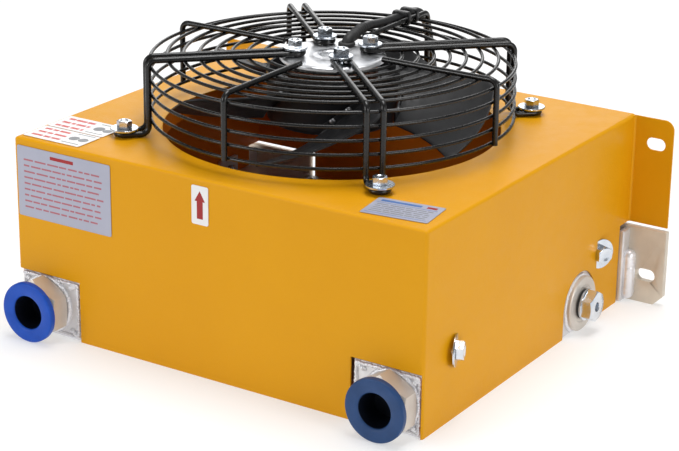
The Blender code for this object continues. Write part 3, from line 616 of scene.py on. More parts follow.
fit("finned_core", stack, core_metal, "cooler", "core_aluminium", "oil_core")


def dress(mat, *nodes):
    """Give CAD nodes whose shape is right a finished material."""
    for name in nodes:
        node_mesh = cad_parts[name].data
        node_mesh.materials.clear()
        node_mesh.materials.append(mat)


dress(core_metal, "core_side_front", "core_side_rear")


# Header tanks: aluminium channels with a thick plate welded on each end.  The front
# plates show through the shroud's notches, with the rough bead round their edges.
TANK_IN, TANK_OUT, TANK_TOP = 0.121, 0.176, 0.0465
PORT_X, PORT_Z = 0.1525, 0.0238
tank_metal = metal_finish("welded_aluminium", (0.66, 0.65, 0.66), (0.84, 0.83, 0.84), (0.34, 0.50), 700,
                          0.00012, metallic=0.55)
foot_metal = metal_finish("mill_aluminium", (0.60, 0.53, 0.44), (0.72, 0.65, 0.55), (0.42, 0.55), 700,
                          0.00008, metallic=0.4)
bead_metal = metal_finish("weld_bead", (0.78, 0.78, 0.81), (0.92, 0.92, 0.95), (0.28, 0.42), 500, 0.00008,
                          metallic=0.5)
dress(tank_metal, "header_tank_left", "header_tank_right")


def bead(points, radius, closed=False, seed=1, ripple=0.62, uneven=0.12):
    """A weld bead: overlapping ripples along a line of points."""
    picks = random.Random(seed)
    pairs = list(zip(points, points[1:] + points[:1])) if closed else list(zip(points, points[1:]))
    places, left = [], 0.0
    for a, b in pairs:
        a, b = Vector(a), Vector(b)
        run = (b - a).length
        heading = (b - a).to_track_quat("X", "Z").to_euler()
        while left < run:
            fat = radius * picks.uniform(1 - uneven, 1 + uneven)
            nudge = Vector([picks.uniform(-uneven, uneven) * radius for _ in range(3)])
            places.append((tuple(a.lerp(b, left / run) + nudge), tuple(heading), (fat * 0.8, fat, fat * 0.9)))
            left += radius * ripple
        left -= run
    ball = turned([(math.sin(math.pi * i / 8), -math.cos(math.pi * i / 8)) for i in range(9)], 12)
    return crisp(set_out(ball, places, bead_metal), 70)


for side, sign in (("left", -1), ("right", 1)):
    port_x, port_z = sign * PORT_X, PORT_Z
    low, high = corners("tank_end_front_" + side)
    way = rod(0.0168, -0.01, 0.01, 64, Matrix.Translation((port_x, low.y, port_z)) @ ON_END)
    end = worked(eased(block(low, high), 0.0008), (), [way])
    fit("tank_front_plate_" + side, crisp(end), tank_metal, "cooler", "tank_aluminium",
        "tank_end_front_" + side)
    low_back, high_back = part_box("tank_end_rear_" + side)
    fit("tank_rear_plate_" + side, crisp(eased(block(low_back, high_back), 0.0008)), tank_metal, "cooler",
        "tank_aluminium", "tank_end_rear_" + side)
    y = low.y - 0.0001
    x0, x1 = sorted((sign * (TANK_IN + 0.0021), sign * (TANK_OUT - 0.0021)))
    z0, z1 = 0.0024, TANK_TOP - 0.0021
    loop = [(x0, y, z0), (x1, y, z0), (x1, y, z1), (x0, y, z1)]
    seams = [bead(loop, 0.0016, True, 3 + sign, 0.4, 0.16)]
    picks = random.Random(40 + sign)
    for x, z in ((x0, z1), (x1, z1), (x0, z0), (x1, z0)):
        lump = []
        for t in (0.06, 0.16, 0.24):
            stray_x = picks.uniform(-0.001, 0.001)
            stray_z = picks.uniform(-0.001, 0.001)
            lump.append((x + (port_x - x) * t + stray_x, y, z + (port_z - z) * t + stray_z))
        seams.append(bead(lump, 0.0019, False, 50 + sign, 0.5, 0.2))
    fit("end_weld_" + side, together(*seams), bead_metal, "cooler", "tank_aluminium")
    ring = [(port_x + 0.0212 * math.cos(a), y - 0.0003, port_z + 0.0212 * math.sin(a))
            for a in [2 * math.pi * i / 60 for i in range(60)]]
    fit("boss_weld_" + side, bead(ring, 0.0022, True, 7 + sign, 0.4, 0.1), bead_metal, "cooler",
        "port_aluminium")


# Port bosses: hexagonal aluminium bar, turned to a neck at the back, with a plain
# bright bore where the pipe thread is.  Each is welded to its tank's front plate.
def hex_edge(flats, angle):
    """Distance from a hexagon's middle to its edge; corners at 0, 60, 120 degrees."""
    return flats / 2 / math.cos(angle % (math.pi / 3) - math.pi / 6)


port_metal = metal_finish("turned_aluminium", (0.60, 0.54, 0.48), (0.72, 0.67, 0.61), (0.34, 0.46), 1300,
                          0.00003, (1, 14, 1), 0.35)
PORT_BORE, NECK_R = 0.0168, 0.0198
for side, sign in (("left", -1), ("right", 1)):
    low, high = corners("port_boss_" + side)
    face, seat = -low.y, -high.y
    hex_back = -(front - 0.0004)
    flats = high.x - low.x

    def boss_profile(angle):
        """Neck, hexagon with turned chamfers, and bore with thread grooves."""
        edge = hex_edge(flats, angle + math.pi / 6)
        drop = (edge - 0.485 * flats) * math.tan(math.radians(30))
        outer = [(NECK_R, seat), (NECK_R, hex_back), (0.485 * flats, hex_back), (edge, hex_back + drop),
                 (edge, face - drop), (0.485 * flats, face), (PORT_BORE + 0.001, face),
                 (PORT_BORE, face - 0.001)]
        grooves = [(PORT_BORE + depth, face - 0.001 - (i + part) * 0.0023)
                  for i in range(6) for part, depth in ((0.3, 0), (0.65, 0.0009), (1.0, 0))]
        return outer + grooves + [(PORT_BORE, seat)]

    place = Matrix.Translation((sign * PORT_X, 0, PORT_Z)) @ ON_END
    fit("hex_boss_" + side, turned(boss_profile, 96, True, place), port_metal, "cooler", "port_aluminium",
        "port_boss_" + side)


# Port plugs: soft blue polyethylene caps with a wide flange and an open recess.  They
# are pushed and turned into the ports to keep dirt out, and come off for fitting.
def soft_blue(name, dark, light):
    """Moulded polyethylene, slightly translucent."""
    return uneven(name, (dark, light), (0.3, 0.42), (70, 3), (300, 2), 0.00008, (260, 3), (2200, 1),
                  Specular_IOR_Level=0.25, Subsurface_Weight=0.08, Subsurface_Scale=0.002,
                  Subsurface_Radius=(0.3, 0.5, 1.0))


# The recess takes a near-black blue: painted shade for the dark inside of the deep hole, not the plug's own
# colour.
recess_painted_shade = soft_blue("blue_recess", (0.004, 0.006, 0.012), (0.006, 0.009, 0.018))
for side, sign, dark, light in (("left", -1, (0.006, 0.065, 0.42), (0.010, 0.085, 0.50)),
                                ("right", 1, (0.018, 0.056, 0.16), (0.026, 0.072, 0.20))):
    blue = soft_blue("blue_cap_" + side, dark, light)
    low, high = corners("port_plug_" + side)
    face, tip = -low.y, -high.y
    flange, hole = (high.x - low.x) / 2, 0.013
    back_face = face - 0.005
    skirt = PORT_BORE - 0.0004
    rim = arc((flange - 0.0014, face - 0.0014), 0.0014, 90, 0, 6)
    mouth = [(hole + 0.0022, face), (hole + 0.0016, face - 0.0003),
             (hole + 0.0006, face - 0.0006), (hole, face - 0.0014)]
    thread = []
    turns = 5
    for i in range(turns):
        at = back_face - 0.0016 - i * (back_face - 0.003 - tip) / turns
        thread += [(skirt - 0.0007, at), (skirt, at - 0.0007), (skirt, at - 0.0013),
                   (skirt - 0.0007, at - 0.002)]
    profile = [(0, tip + 0.0028), (hole - 0.0006, tip + 0.0028), (hole - 0.0002, tip + 0.0034)]
    profile += mouth[::-1] + rim
    profile += [(flange, back_face + 0.0005), (flange - 0.0005, back_face), (skirt, back_face)]
    profile += thread + [(skirt - 0.0007, tip + 0.0006), (skirt - 0.0014, tip), (0, tip)]
    place = Matrix.Translation((sign * PORT_X, 0, PORT_Z)) @ ON_END
    cap = crisp(turned(profile, 96, False, place))
    # Faces deep in the recess take the near-black painted-shade blue.
    for part in cap.polygons:
        at = part.center - place.translation
        part.material_index = int(math.hypot(at.x, at.z) < hole + 0.0002 and -at.y > tip + 0.0015)
    fit("port_cap_" + side, cap, [blue, recess_painted_shade], side + "_plug", "blue_plastic", "port_plug_" + side)


# Drain: a round aluminium boss welded to the right tank under the arch, a rubber seal
# and a zinc-plated hexagon plug with a dimpled head.
ON_RIGHT = Matrix.Rotation(math.pi / 2, 4, "Y")
zinc = metal_finish("zinc_plate", (0.56, 0.61, 0.68), (0.80, 0.83, 0.86), (0.14, 0.30), 1400, 0.00003)
rubber = plastic_finish("black_rubber", (0.012, 0.012, 0.012), (0.022, 0.022, 0.022), (0.5, 0.66))
drain_place = Matrix.Translation((0, drain_y, drain_z)) @ ON_RIGHT
low, high = corners("drain_boss")
boss_r = (high.y - low.y) / 2
boss = [(boss_r - 0.0012, low.x), (boss_r, low.x + 0.0006), (boss_r, high.x - 0.0008),
        (boss_r - 0.0008, high.x), (0.0150, high.x), (0.0144, high.x - 0.0004), (0.0080, high.x - 0.0004),
        (0.0072, low.x)]
fit("drain_collar", turned(boss, 96, True, drain_place), port_metal, "cooler", "tank_aluminium", "drain_boss")
ring = [(low.x + 0.0006, drain_y + (boss_r + 0.0003) * math.cos(a), drain_z + (boss_r + 0.0003) * math.sin(a))
        for a in [2 * math.pi * i / 60 for i in range(60)]]
ring = [point for point in ring if point[2] > 0.002]
fit("drain_weld", bead(ring[8:] + ring[:8], 0.0016, False, 21), bead_metal, "cooler", "tank_aluminium")
dress(rubber, "drain_seal")
low, high = corners("drain_plug")
collar_at = high.x - 0.010
DRAIN_FLATS = 0.022


def drain_profile(angle):
    """Shank, collar and chamfered hexagon with a dimple in its end."""
    inner = 0.485 * DRAIN_FLATS
    edge = hex_edge(DRAIN_FLATS, angle)
    drop = (edge - inner) * math.tan(math.radians(30))
    head = [(0, high.x - 0.0045), (0.0030, high.x - 0.0035), (0.0034, high.x - 0.0004), (0.0040, high.x),
            (inner, high.x), (edge, high.x - drop), (edge, collar_at + 0.0021), (0.0122, collar_at + 0.0020),
            (0.0125, collar_at + 0.0016), (0.0125, collar_at + 0.0003), (0.0122, collar_at)]
    groove = [(0.0066 - cut, collar_at - 0.0008 - (i + part) * 0.0014) for i in range(7)
              for part, cut in ((0.0, 0), (0.5, 0.0008))]
    return head + [(0.0066, collar_at)] + groove + [(0.0058, low.x), (0, low.x)]


fit("drain_screw_plug", turned(drain_profile, 72, False, drain_place), zinc, "drain_screw", "zinc_steel",
    "drain_plug")


# Foot brackets: slotted aluminium flanges at the rear with a leg against the tank,
# held by one fat upright weld each.
for side, sign in (("left", -1), ("right", 1)):
    low, high = corners("foot_bracket_" + side)
    outer, chamfer, thick = 0.2125, 0.008, 0.0055
    flange = [(TANK_IN, low.z), (outer - chamfer, low.z), (outer, low.z + chamfer), (outer, high.z),
              (TANK_IN, high.z)]
    loops = [[(sign * x, z) for x, z in flange], slot_outline(sign * SLOT_X, 0.0234)]
    flat = plate(loops, thick, Matrix.Translation((0, rear - thick / 2, 0)) @ ON_END)
    near, far = sorted((sign * (TANK_OUT + 0.0004), sign * (TANK_OUT + 0.0054)))
    leg = block((near, rear - 0.0162, 0.0005), (far, rear - thick + 0.001, high.z - 0.002))
    flat, leg = eased(flat, 0.0005), eased(leg, 0.0012, 3)
    leg.polygons.foreach_set("material_index", [1] * len(leg.polygons))
    bracket = together(flat, leg)
    fit("rear_foot_" + side, crisp(bracket), [foot_metal, tank_metal], "cooler", "tank_aluminium",
        "foot_bracket_" + side)
    corner_x = sign * (TANK_OUT + 0.0074)
    upright = [(corner_x, rear - thick - 0.0024, 0.0062 + i * 0.0013) for i in range(26)]
    fit("foot_weld_" + side, bead(upright, 0.0056, False, 31 + sign, 0.16, 0.03), bead_metal, "cooler",
        "tank_aluminium")


# Fan guard: bright drawn steel wire, spot welded and dipped in gloss black.  Twelve
# rings hang on four single ribs and four looped legs.
coating = uneven("gloss_black_coating", ((0.003, 0.003, 0.003), (0.007, 0.007, 0.007)), (0.2, 0.34), (70, 3),
                 (200, 3), 0.00006, (900, 2), Coat_Weight=0.2, Coat_Roughness=0.12, Specular_IOR_Level=0.4)
LEG_WIRE, RING_WIRE, SUNK = 0.0022, 0.0013, 0.0005
RIB_Z, GUARD_R, LEG_HALF, WIRE_BEND = 0.2105, 0.140, 0.006, 0.006
HUB_BOLT_R, FOOT_R = 0.0288, 0.1575


def sweep(tree, paths, sides, caps):
    """Sweep a tree's placed paths with round wire, and close the tree."""
    real = add(tree, "GeometryNodeRealizeInstances", {"Geometry": paths}).outputs[0]
    section = add(tree, "GeometryNodeCurvePrimitiveCircle", {"Resolution": sides, "Radius": given["Wire"]})
    swept = add(tree, "GeometryNodeCurveToMesh",
                {"Curve": real, "Profile Curve": section.outputs[0], "Fill Caps": caps})
    close_tree(tree, swept.outputs[0], given["Finish"])


rings_tree, given = new_tree("wire_rings", Base="Geometry", Count="Int", First_Radius="Float",
                             Radius_Step="Float", First_Height="Float", Height_Step="Float", Wire="Float",
                             Finish="Material")
first = add(rings_tree, "ShaderNodeCombineXYZ", {"Z": given["First Height"]}).outputs[0]
offset = add(rings_tree, "ShaderNodeCombineXYZ", {"Z": given["Height Step"]}).outputs[0]
line = add(rings_tree, "GeometryNodeMeshLine",
           {"Count": given["Count"], "Start Location": first, "Offset": offset})
number = add(rings_tree, "GeometryNodeInputIndex").outputs[0]
radius = add(rings_tree, "ShaderNodeMath", {0: number, 1: given["Radius Step"], 2: given["First Radius"]},
             operation="MULTIPLY_ADD").outputs[0]
spread = add(rings_tree, "ShaderNodeCombineXYZ", {"X": radius, "Y": radius, "Z": 1.0}).outputs[0]
circle = add(rings_tree, "GeometryNodeCurvePrimitiveCircle", {"Resolution": 144, "Radius": 1.0}).outputs[0]
placed = add(rings_tree, "GeometryNodeInstanceOnPoints",
             {"Points": line.outputs[0], "Instance": circle, "Scale": spread}).outputs[0]
sweep(rings_tree, placed, 12, False)

spokes_tree, given = new_tree("spokes", Path="Geometry", First_Turn="Float", Wire="Float", Finish="Material")
line = add(spokes_tree, "GeometryNodeMeshLine", {"Count": 4, "Offset": (0, 0, 0)}).outputs[0]
number = add(spokes_tree, "GeometryNodeInputIndex").outputs[0]
angle = add(spokes_tree, "ShaderNodeMath", {0: number, 1: math.pi / 2, 2: given["First Turn"]},
            operation="MULTIPLY_ADD").outputs[0]
spin = add(spokes_tree, "ShaderNodeCombineXYZ", {"Z": angle}).outputs[0]
placed = add(spokes_tree, "GeometryNodeInstanceOnPoints",
             {"Points": line, "Instance": given["Path"], "Rotation": spin}).outputs[0]
sweep(spokes_tree, placed, 16, True)


def grown(ob, tree, **values):
    """The mesh that a Geometry Nodes tree makes from an object."""
    step = ob.modifiers.new("grow", "NODES")
    step.node_group = tree
    choose(step, Finish=coating, **values)
    return settled(ob)


def path_object(points, closed):
    """A bare curve through points."""
    ob = wire_curve("path", points, 0, closed)
    ob.data.bevel_depth = 0
    return ob


def empty_mesh():
    """A mesh object with nothing in it, for trees that need no input."""
    return loose(bpy.data.meshes.new("nothing"))


top_z = RIB_Z - LEG_WIRE - RING_WIRE + SUNK
side_r = GUARD_R - LEG_WIRE - RING_WIRE + SUNK
top_rings = grown(empty_mesh(), rings_tree, Count=7, First_Radius=0.052, Radius_Step=0.012,
                  First_Height=top_z, Height_Step=0.0, Wire=RING_WIRE)
side_rings = grown(empty_mesh(), rings_tree, Count=5, First_Radius=side_r, Radius_Step=0.0,
                   First_Height=0.1629, Height_Step=0.0103, Wire=RING_WIRE)
shoulder = arc((GUARD_R - WIRE_BEND, RIB_Z - WIRE_BEND), WIRE_BEND, 90, 0, 10)
rib = [(0.044, 0, RIB_Z)] + [(r, 0, z) for r, z in shoulder] + [(GUARD_R, 0, 0.1619)]
foot_z = height + LEG_WIRE + 0.0003
down = shoulder + arc((GUARD_R + WIRE_BEND, foot_z + WIRE_BEND), WIRE_BEND, 180, 270, 10)
leg = [(r, LEG_HALF, z) for r, z in down]
leg += [(FOOT_R + x, y, foot_z) for x, y in arc((0, 0), LEG_HALF, 90, -90, 24)]
leg += [(r, -LEG_HALF, z) for r, z in reversed(down)]
leg += [(HUB_BOLT_R + x, y, RIB_Z) for x, y in arc((0, 0), LEG_HALF, 270, 90, 24)]
ribs = grown(path_object(rib, False), spokes_tree, First_Turn=0.0, Wire=LEG_WIRE)
legs = grown(path_object(leg, True), spokes_tree, First_Turn=math.pi / 4, Wire=LEG_WIRE)
guard = together(top_rings, side_rings, ribs, legs)
guard.transform(Matrix.Translation((0, mid_y, 0)))
fit("wire_guard", crisp(guard, 60), coating, "cooler", "guard_coating", "fan_guard")


# Hub plate: a pressed aluminium flange that carries the stator, with a raised ring and
# a shallow centre dish.  Its four bolts clamp the legs' loops.
AXIS = Matrix.Translation((0, mid_y, 0))
hub_metal = metal_finish("hub_aluminium", (0.66, 0.67, 0.69), (0.84, 0.85, 0.87), (0.26, 0.42), 1000, 0.00006)
PLATE_R, PLATE_TOP, PLATE_THICK = 0.040, 0.208, 0.0035
TUBE_OUT, TUBE_IN, TUBE_END = 0.0140, 0.0110, 0.166      # the bearing tube under the plate
under = PLATE_TOP - PLATE_THICK
hub = [(0, PLATE_TOP - 0.0009), (0.0085, PLATE_TOP - 0.0009), (0.0095, PLATE_TOP - 0.0002),
       (0.0125, PLATE_TOP), (0.0140, PLATE_TOP - 0.0007), (0.0155, PLATE_TOP - 0.0007), (0.0170, PLATE_TOP),
       (PLATE_R - 0.0026, PLATE_TOP), (PLATE_R - 0.0012, PLATE_TOP - 0.0002),
       (PLATE_R - 0.0002, PLATE_TOP - 0.0010), (PLATE_R, PLATE_TOP - 0.0018), (PLATE_R, under + 0.0002),
       (PLATE_R - 0.0003, under), (TUBE_OUT, under), (TUBE_OUT, TUBE_END), (TUBE_IN, TUBE_END),
       (TUBE_IN, under - 0.002), (0, under - 0.002)]
diagonals = [math.radians(a) for a in (45, 135, 225, 315)]
holes = []
for a in diagonals:
    spot = Matrix.Translation((HUB_BOLT_R * math.cos(a), HUB_BOLT_R * math.sin(a), 0))
    holes.append(rod(0.0032, 0.2, 0.212, 24, AXIS @ spot))
boot_x, boot_y = -0.003, mid_y + 0.024
holes.append(rod(0.0054, 0.2, 0.212, 32, Matrix.Translation((boot_x, boot_y, 0))))
hub_plate = worked(turned(hub, 128, False, AXIS), (), holes)
fit("hub_plate", crisp(hub_plate), hub_metal, "cooler", "hub_aluminium", "motor_plate")


# Motor inside the drum: laminated stator, copper windings, rotor cage, shaft and two
# bearings.  They keep the frame's shapes and take their own metals.
laminated = metal_finish("laminations", (0.20, 0.20, 0.21), (0.34, 0.34, 0.35), (0.35, 0.5), 60, 0.0002,
                         (0.02, 0.02, 40))
copper = metal_finish("copper_wire", (0.42, 0.13, 0.035), (0.66, 0.24, 0.07), (0.22, 0.36), 60, 0.0003,
                      (0.3, 0.3, 30))
polished = metal_finish("ground_steel", (0.52, 0.52, 0.54), (0.68, 0.68, 0.70), (0.12, 0.22), 1600, 0.00002)
dress(laminated, "stator_core", "rotor_cage")
dress(copper, "winding_lower", "winding_upper")
dress(polished, "bearing_lower", "bearing_upper", "motor_shaft")


# Fan: a deep-drawn black drum turns round the motor.  Five pressed sheet blades are
# riveted to it by the flaps folded up along their roots.
fan_paint = uneven("black_fan_paint", ((0.007, 0.007, 0.008), (0.014, 0.014, 0.016)), (0.34, 0.5), (25, 4),
                   (120, 3), 0.0001, (500, 2), (1800, 1), Coat_Weight=0.05, Specular_IOR_Level=0.4)
DRUM_R, DRUM_LOW, DRUM_TOP = 0.050, 0.158, 0.198
drum = [(DRUM_R - 0.0004, DRUM_TOP), (DRUM_R, DRUM_TOP - 0.0006), (DRUM_R, DRUM_TOP - 0.0035),
        (DRUM_R - 0.0006, DRUM_TOP - 0.0045), (DRUM_R - 0.0006, DRUM_LOW + 0.0045)]
drum += arc((DRUM_R - 0.0046, DRUM_LOW + 0.004), 0.004, 0, -90, 8)
drum += [(0.036, DRUM_LOW), (0.034, DRUM_LOW + 0.0012), (0.016, DRUM_LOW + 0.0012), (0.0145, DRUM_LOW),
         (0.0053, DRUM_LOW), (0.0053, DRUM_LOW + 0.003), (0.036, DRUM_LOW + 0.0032),
         (0.0475, DRUM_LOW + 0.0045), (0.0475, DRUM_TOP)]
fit("fan_drum", turned(drum, 128, True, AXIS), fan_paint, "fan_rotor", "fan_paint", "rotor_shell")
BLADE_TIP, BLADE_SHEET = 0.122, 0.0015
root_r = DRUM_R + BLADE_SHEET / 2 + 0.0010


def blade_point(u, v, lift=0.0):
    """A point on the first blade: u from root to tip, v across it from its low edge."""
    radius = root_r + (BLADE_TIP - root_r) * u
    angle = math.radians(5 - 19 * u) + math.radians(46 - 4 * u) * v
    z = 0.160 - 0.006 * u + (0.030 + 0.006 * u) * v - 0.003 * u * math.sin(math.pi * v)
    return Vector((radius * math.cos(angle), radius * math.sin(angle), z + lift))


def skin(rows, thickness):
    """A sheet through a grid of points, with thickness and rounded edges."""
    bm = bmesh.new()
    grid = [[bm.verts.new(p) for p in row] for row in rows]
    for near, far in zip(grid, grid[1:]):
        for i in range(len(near) - 1):
            bm.faces.new((near[i], far[i], far[i + 1], near[i + 1]))
    mesh = bpy.data.meshes.new("skin")
    bm.to_mesh(mesh)
    bm.free()
    ob = loose(mesh)
    body = ob.modifiers.new("sheet", "SOLIDIFY")
    body.thickness = thickness
    body.offset = 0
    body.use_even_offset = True
    return eased(settled(ob), thickness * 0.25, 2, 60)


def tip_inset(u, corner=0.09, start=0.88):
    """How far the blade's ends pull in near its tip, as a share of its width."""
    over = max(0.0, (u - start) / (1 - start))
    return corner * (1 - math.sqrt(max(0.0, 1 - over * over)))


across_blade = [i / 22 for i in range(23)]
flap_rows = [[blade_point(0, 0.06 + 0.88 * v, lift) for v in across_blade] for lift in (0.007, 0.0045, 0.002)]
flap_rows.append([blade_point(0.003, 0.03 + 0.94 * v, 0.0007) for v in across_blade])
span = [0.012, 0.04] + [0.1 * i for i in range(1, 9)] + [0.86, 0.90, 0.93, 0.955, 0.975, 0.99, 1.0]
blade_rows = flap_rows + [[blade_point(u, tip_inset(u) + (1 - 2 * tip_inset(u)) * v) for v in across_blade]
                          for u in span]
blade = crisp(skin(blade_rows, BLADE_SHEET), 40)
rivet_head = turned([(0, 0.0013), (0.0010, 0.0012), (0.0019, 0.0008), (0.0025, 0.0), (0, 0)], 20)
rivets = []
for v in (0.22, 0.5, 0.78):
    at = blade_point(0, v, 0.0042)
    out = Vector((at.x, at.y, 0)).normalized()
    turn_out = out.to_track_quat("Z", "Y").to_euler()
    rivets.append((tuple(at + out * (BLADE_SHEET / 2 - 0.0001)), tuple(turn_out), FULL))
rivet_steel = metal_finish("rivet_steel", (0.16, 0.16, 0.17), (0.34, 0.34, 0.35), (0.25, 0.4), 1200, 0.00004)
blade_rivets = set_out(rivet_head, rivets, rivet_steel)
for i in range(5):
    spin = AXIS @ Matrix.Rotation(2 * math.pi * i / 5, 4, "Z")
    one_blade, its_rivets = blade.copy(), blade_rivets.copy()
    one_blade.transform(spin)
    its_rivets.transform(spin)
    fit(f"blade_{i + 1}", one_blade, fan_paint, "fan_rotor", "fan_paint", f"fan_blade_{i + 1}")
    fit(f"blade_rivets_{i + 1}", crisp(its_rivets), rivet_steel, "fan_rotor", "zinc_steel")


# Bolts: zinc-plated hexagon bolts with plain washers.  Four hold the shroud to the
# tanks, four the guard's feet and four the hub.
def bolt(flats, head_high, washer_r, washer_thick, shank_r, shank_long):
    """A hexagon bolt and washer standing on Z = 0, head up, with a threaded shank."""
    def head(angle):
        edge = hex_edge(flats, angle)
        top = washer_thick + head_high
        drop = (edge - 0.48 * flats) * math.tan(math.radians(30))
        return [(0, top - 0.0007), (0.24 * flats, top - 0.0006), (0.32 * flats, top), (0.48 * flats, top),
                (edge, top - drop), (edge, washer_thick + 0.0003), (0.45 * flats, washer_thick - 0.0001),
                (0, washer_thick - 0.0001)]
    ease = 0.0003
    washer = [(0, washer_thick), (washer_r - ease, washer_thick), (washer_r, washer_thick - ease),
              (washer_r, ease), (washer_r - ease, 0), (0, 0)]
    ridges = int(shank_long / 0.001)
    shank = [(0, 0.0001)] + [(shank_r - (0.0004 if i % 2 else 0), -i * shank_long / ridges)
                             for i in range(ridges + 1)] + [(0, -shank_long)]
    return together(turned(head, 48), turned(washer, 40), turned(shank, 20))


screw = bolt(0.013, 0.0055, 0.012, 0.0016, 0.0039, 0.009)
for side, sign in (("left", -1), ("right", 1)):
    places = [((sign * (SIDE + 0.0003), y, screw_z), (3.5 * y, sign * math.pi / 2, 0), FULL)
              for y in side_screws]
    fit("side_screws_" + side, crisp(set_out(screw, places, zinc)), zinc, "cooler", "zinc_steel",
        f"shroud_screw_{side}_front", f"shroud_screw_{side}_rear")
for name, radius, seat, steel_bolt, turns in (
        ("guard_bolts", FOOT_R, height + 2 * LEG_WIRE + 0.0006,
         bolt(0.010, 0.0055, 0.0105, 0.0016, 0.0029, 0.011), (0.2, 0.9, 0.5, 0.1)),
        ("hub_bolts", HUB_BOLT_R, RIB_Z + LEG_WIRE + 0.0003,
         bolt(0.010, 0.0055, 0.0092, 0.0016, 0.0028, 0.0095), (0.7, 0.3, 0.0, 0.5))):
    places = [((radius * math.cos(a), mid_y + radius * math.sin(a), seat), (0, 0, t), FULL)
              for a, t in zip(diagonals, turns)]
    stands_for = [f"{name[:-1]}_{row}_{side}" for row in ("front", "back")
                  for side in ("left", "right")]
    fit(name, crisp(set_out(steel_bolt, places, zinc)), zinc, "cooler", "zinc_steel", *stands_for)


# Lead boot: a soft rubber sleeve that tapers along the lead from the hub plate, and two
# nylon ties that hold the lead to the rear rib.
boot_foot = Vector((boot_x, boot_y, PLATE_TOP))
boot_path = [boot_foot + Vector(step) for step in ((0, 0, -0.003), (0, 0, 0), (0, 0.0012, 0.0032),
                                                   (0, 0.0045, 0.0053))]
boot_path += [lead_path[0] + Vector((0, -0.0015, -0.0004))] + [lead_path[i] for i in (4, 8, 12, 16)]
boot_curve = wire_curve("boot_sleeve", through(boot_path, 8), 0.0041, sides=8)
count = len(boot_curve.data.splines[0].points)
for i, point in enumerate(boot_curve.data.splines[0].points):
    along = i / (count - 1)
    rib_step = 0.07 if along > 0.45 and int(along * 26) % 2 else 0.0
    point.radius = 1.08 - 0.14 * along + rib_step
boot_flange = turned([(0, 0.0030), (0.0058, 0.0030), (0.0065, 0.0024), (0.0065, 0.0003), (0, 0.0003)], 40)
boot_flange.transform(Matrix.Translation(boot_foot))
fit("lead_sleeve", crisp(together(settled(boot_curve), boot_flange), 60), rubber, "cooler", "black_rubber",
    "lead_boot")
nylon = plastic_finish("black_nylon", (0.010, 0.010, 0.011), (0.020, 0.020, 0.021), (0.28, 0.4))
STRAP = 0.0012
for i in (1, 2):
    low, high = corners(f"cable_tie_{i}")
    outline = rounded_box(low.x, low.z, high.x, high.z, 0.0030, 6)
    middle = (low + high) / 2
    shrink_x = 1 - 2 * STRAP / (high.x - low.x)
    shrink_z = 1 - 2 * STRAP / (high.z - low.z)
    inner = [(middle.x + (x - middle.x) * shrink_x, middle.z + (z - middle.z) * shrink_z) for x, z in outline]
    tie_y = (low.y + high.y) / 2
    strap = plate([outline, inner], high.y - low.y, Matrix.Translation((0, tie_y, 0)) @ ON_END)
    lock = block((low.x + 0.0012, tie_y - 0.0024, high.z - 0.0030),
                 (low.x + 0.0060, tie_y + 0.0024, high.z - 0.0001))
    fit(f"tie_{i}", crisp(together(eased(strap, 0.0003), eased(lock, 0.0005))), nylon, "cooler",
        "lead_sheath", f"cable_tie_{i}")


# Stickers: thin printed film with plain bars, an arrow and marks instead of any text.
def film(name, colour, rough, metallic=0.0):
    """Printed film: one flat colour with a faint uneven gloss."""
    pale_tone = tuple(min(1.0, c * 1.06) for c in colour)
    return uneven(name, (colour, pale_tone), (rough * 0.85, rough * 1.15), (40,), (120,), 0.00005, (150, 2),
                  Metallic=metallic)


silver_film = film("silver_film", (0.40, 0.41, 0.50), 0.42, 0.1)
white_film = film("white_film", (0.83, 0.82, 0.82), 0.35)
red_ink = film("red_ink", (0.34, 0.004, 0.006), 0.45)
pink_ink = film("faded_red_ink", (0.42, 0.13, 0.16), 0.45)
bold_red_ink = film("bold_red_ink", (0.62, 0.09, 0.08), 0.45)
grey_ink = film("grey_ink", (0.20, 0.21, 0.22), 0.4)
blue_ink = film("blue_ink", (0.06, 0.16, 0.42), 0.4)
BASE, INK_HIGH = 0.0003, 0.00006


def on_front(node):
    """A label's width and height, and the place that puts its drawing on the front."""
    low, high = corners(node)
    return high.x - low.x, high.z - low.z, Matrix.Translation((low.x, high.y, low.z)) @ ON_END


def rounded(width, tall):
    """A label's outline from 0,0."""
    return rounded_box(0, 0, width, tall, 0.0015, 5)


def sticker(name, node, slot_name, films, film_mat, place, inks):
    """Film with printed shapes; inks is a list of (outlines, material)."""
    parts = [plate(films, BASE, Matrix.Translation((0, 0, BASE / 2)))]
    mats = [film_mat]
    for outlines, ink in inks:
        for outline in outlines:
            mark = plate([outline], INK_HIGH, Matrix.Translation((0, 0, BASE + INK_HIGH / 2 - 0.00001)))
            mark.polygons.foreach_set("material_index", [len(mats)] * len(mark.polygons))
            parts.append(mark)
        mats.append(ink)
    mesh = together(*parts)
    mesh.transform(place)
    ob = fit(name, crisp(mesh), None, "cooler", slot_name, node)
    for mat in mats:
        ob.data.materials.append(mat)
    return ob


def bar_outline(x, y, width, tall):
    """A rectangle."""
    return [(x, y), (x + width, y), (x + width, y + tall), (x, y + tall)]


def text_rows(seed, left, right, top, bottom, rows, tall, ends=0.0):
    """Rows of plain dashes in place of print."""
    picks = random.Random(seed)
    outlines = []
    for row in range(rows):
        y = top - (top - bottom) * row / max(1, rows - 1)
        x = left
        stop = right - (ends * (right - left) if row == rows - 1 else picks.uniform(0, 0.08) * (right - left))
        while x < stop - 0.002:
            run = min(picks.uniform(0.003, 0.011), stop - x)
            outlines.append(bar_outline(x, y, run, tall))
            x += run + picks.uniform(0.0008, 0.0018)
    return outlines


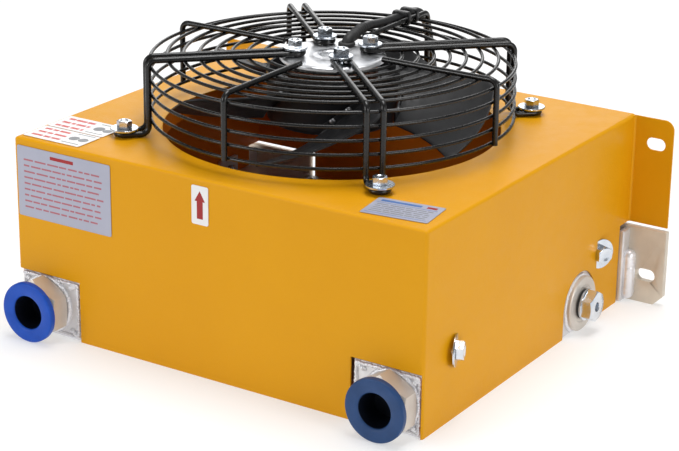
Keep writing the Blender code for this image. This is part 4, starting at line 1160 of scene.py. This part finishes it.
wide, tall, place = on_front("info_label")
sticker("info_sticker", "info_label", "silver_label", [rounded(wide, tall)], silver_film, place, [
    ([bar_outline(0.36 * wide, 0.885 * tall, 0.25 * wide, 0.0026)], red_ink),
    (text_rows(5, 0.07 * wide, 0.95 * wide, 0.80 * tall, 0.13 * tall, 9, 0.0013, 0.1), pink_ink)])
wide, tall, place = on_front("arrow_label")
middle, shaft, barb = wide / 2, 0.0026, 0.0045
arrow = [(middle - shaft, 0.15 * tall), (middle + shaft, 0.15 * tall), (middle + shaft, 0.60 * tall),
         (middle + barb, 0.60 * tall), (middle, 0.87 * tall), (middle - barb, 0.60 * tall),
         (middle - shaft, 0.60 * tall)]
sticker("arrow_sticker", "arrow_label", "white_label", [rounded(wide, tall)], white_film, place,
        [([arrow], red_ink)])
low, high = corners("warning_label")
wide, tall = high.x - low.x, high.y - low.y
seam, FILM_GAP = 0.49 * tall, 0.0014
two_films = [rounded_box(0, 0, wide, seam - FILM_GAP / 2, 0.0015, 5),
             rounded_box(0, seam + FILM_GAP / 2, wide, tall, 0.0015, 5)]
blobs = []
for x, y, r in ((0.72, 0.25, 0.0042), (0.88, 0.25, 0.0040), (0.74, 0.75, 0.0046), (0.90, 0.73, 0.0036)):
    blobs.append(arc((x * wide, y * tall), r, 0, 342, 19))
blobs += [bar_outline(0.64 * wide, y * tall, 0.30 * wide, 0.0012) for y in (0.06, 0.42, 0.56, 0.92)]
sticker("caution_sticker", "warning_label", "white_label", two_films, white_film,
        Matrix.Translation(low), [
    (text_rows(9, 0.08 * wide, 0.58 * wide, 0.86 * tall, 0.56 * tall, 3, 0.0034)
     + text_rows(10, 0.08 * wide, 0.58 * wide, 0.36 * tall, 0.08 * tall, 3, 0.0030), bold_red_ink),
    (blobs, grey_ink)])
plate_wide, plate_tall = 0.050, 0.033
place = (Matrix.Translation((0.1435, front + 0.0255, height + 0.0003))
         @ Matrix.Rotation(math.radians(7), 4, "Z")
         @ Matrix.Translation((-plate_wide / 2, -plate_tall / 2, 0)))
sticker("rating_plate", "name_plate", "silver_label", [rounded(plate_wide, plate_tall)], silver_film, place, [
    ([bar_outline(0.004, 0.0262, 0.030, 0.0034), bar_outline(0.0025, 0.0235, 0.045, 0.0005),
      bar_outline(0.0025, 0.0030, 0.045, 0.0005)], blue_ink),
    ([bar_outline(0.038, 0.0262, 0.0075, 0.0034)], red_ink),
    (text_rows(14, 0.004, 0.046, 0.0200, 0.0060, 5, 0.0011), grey_ink)])
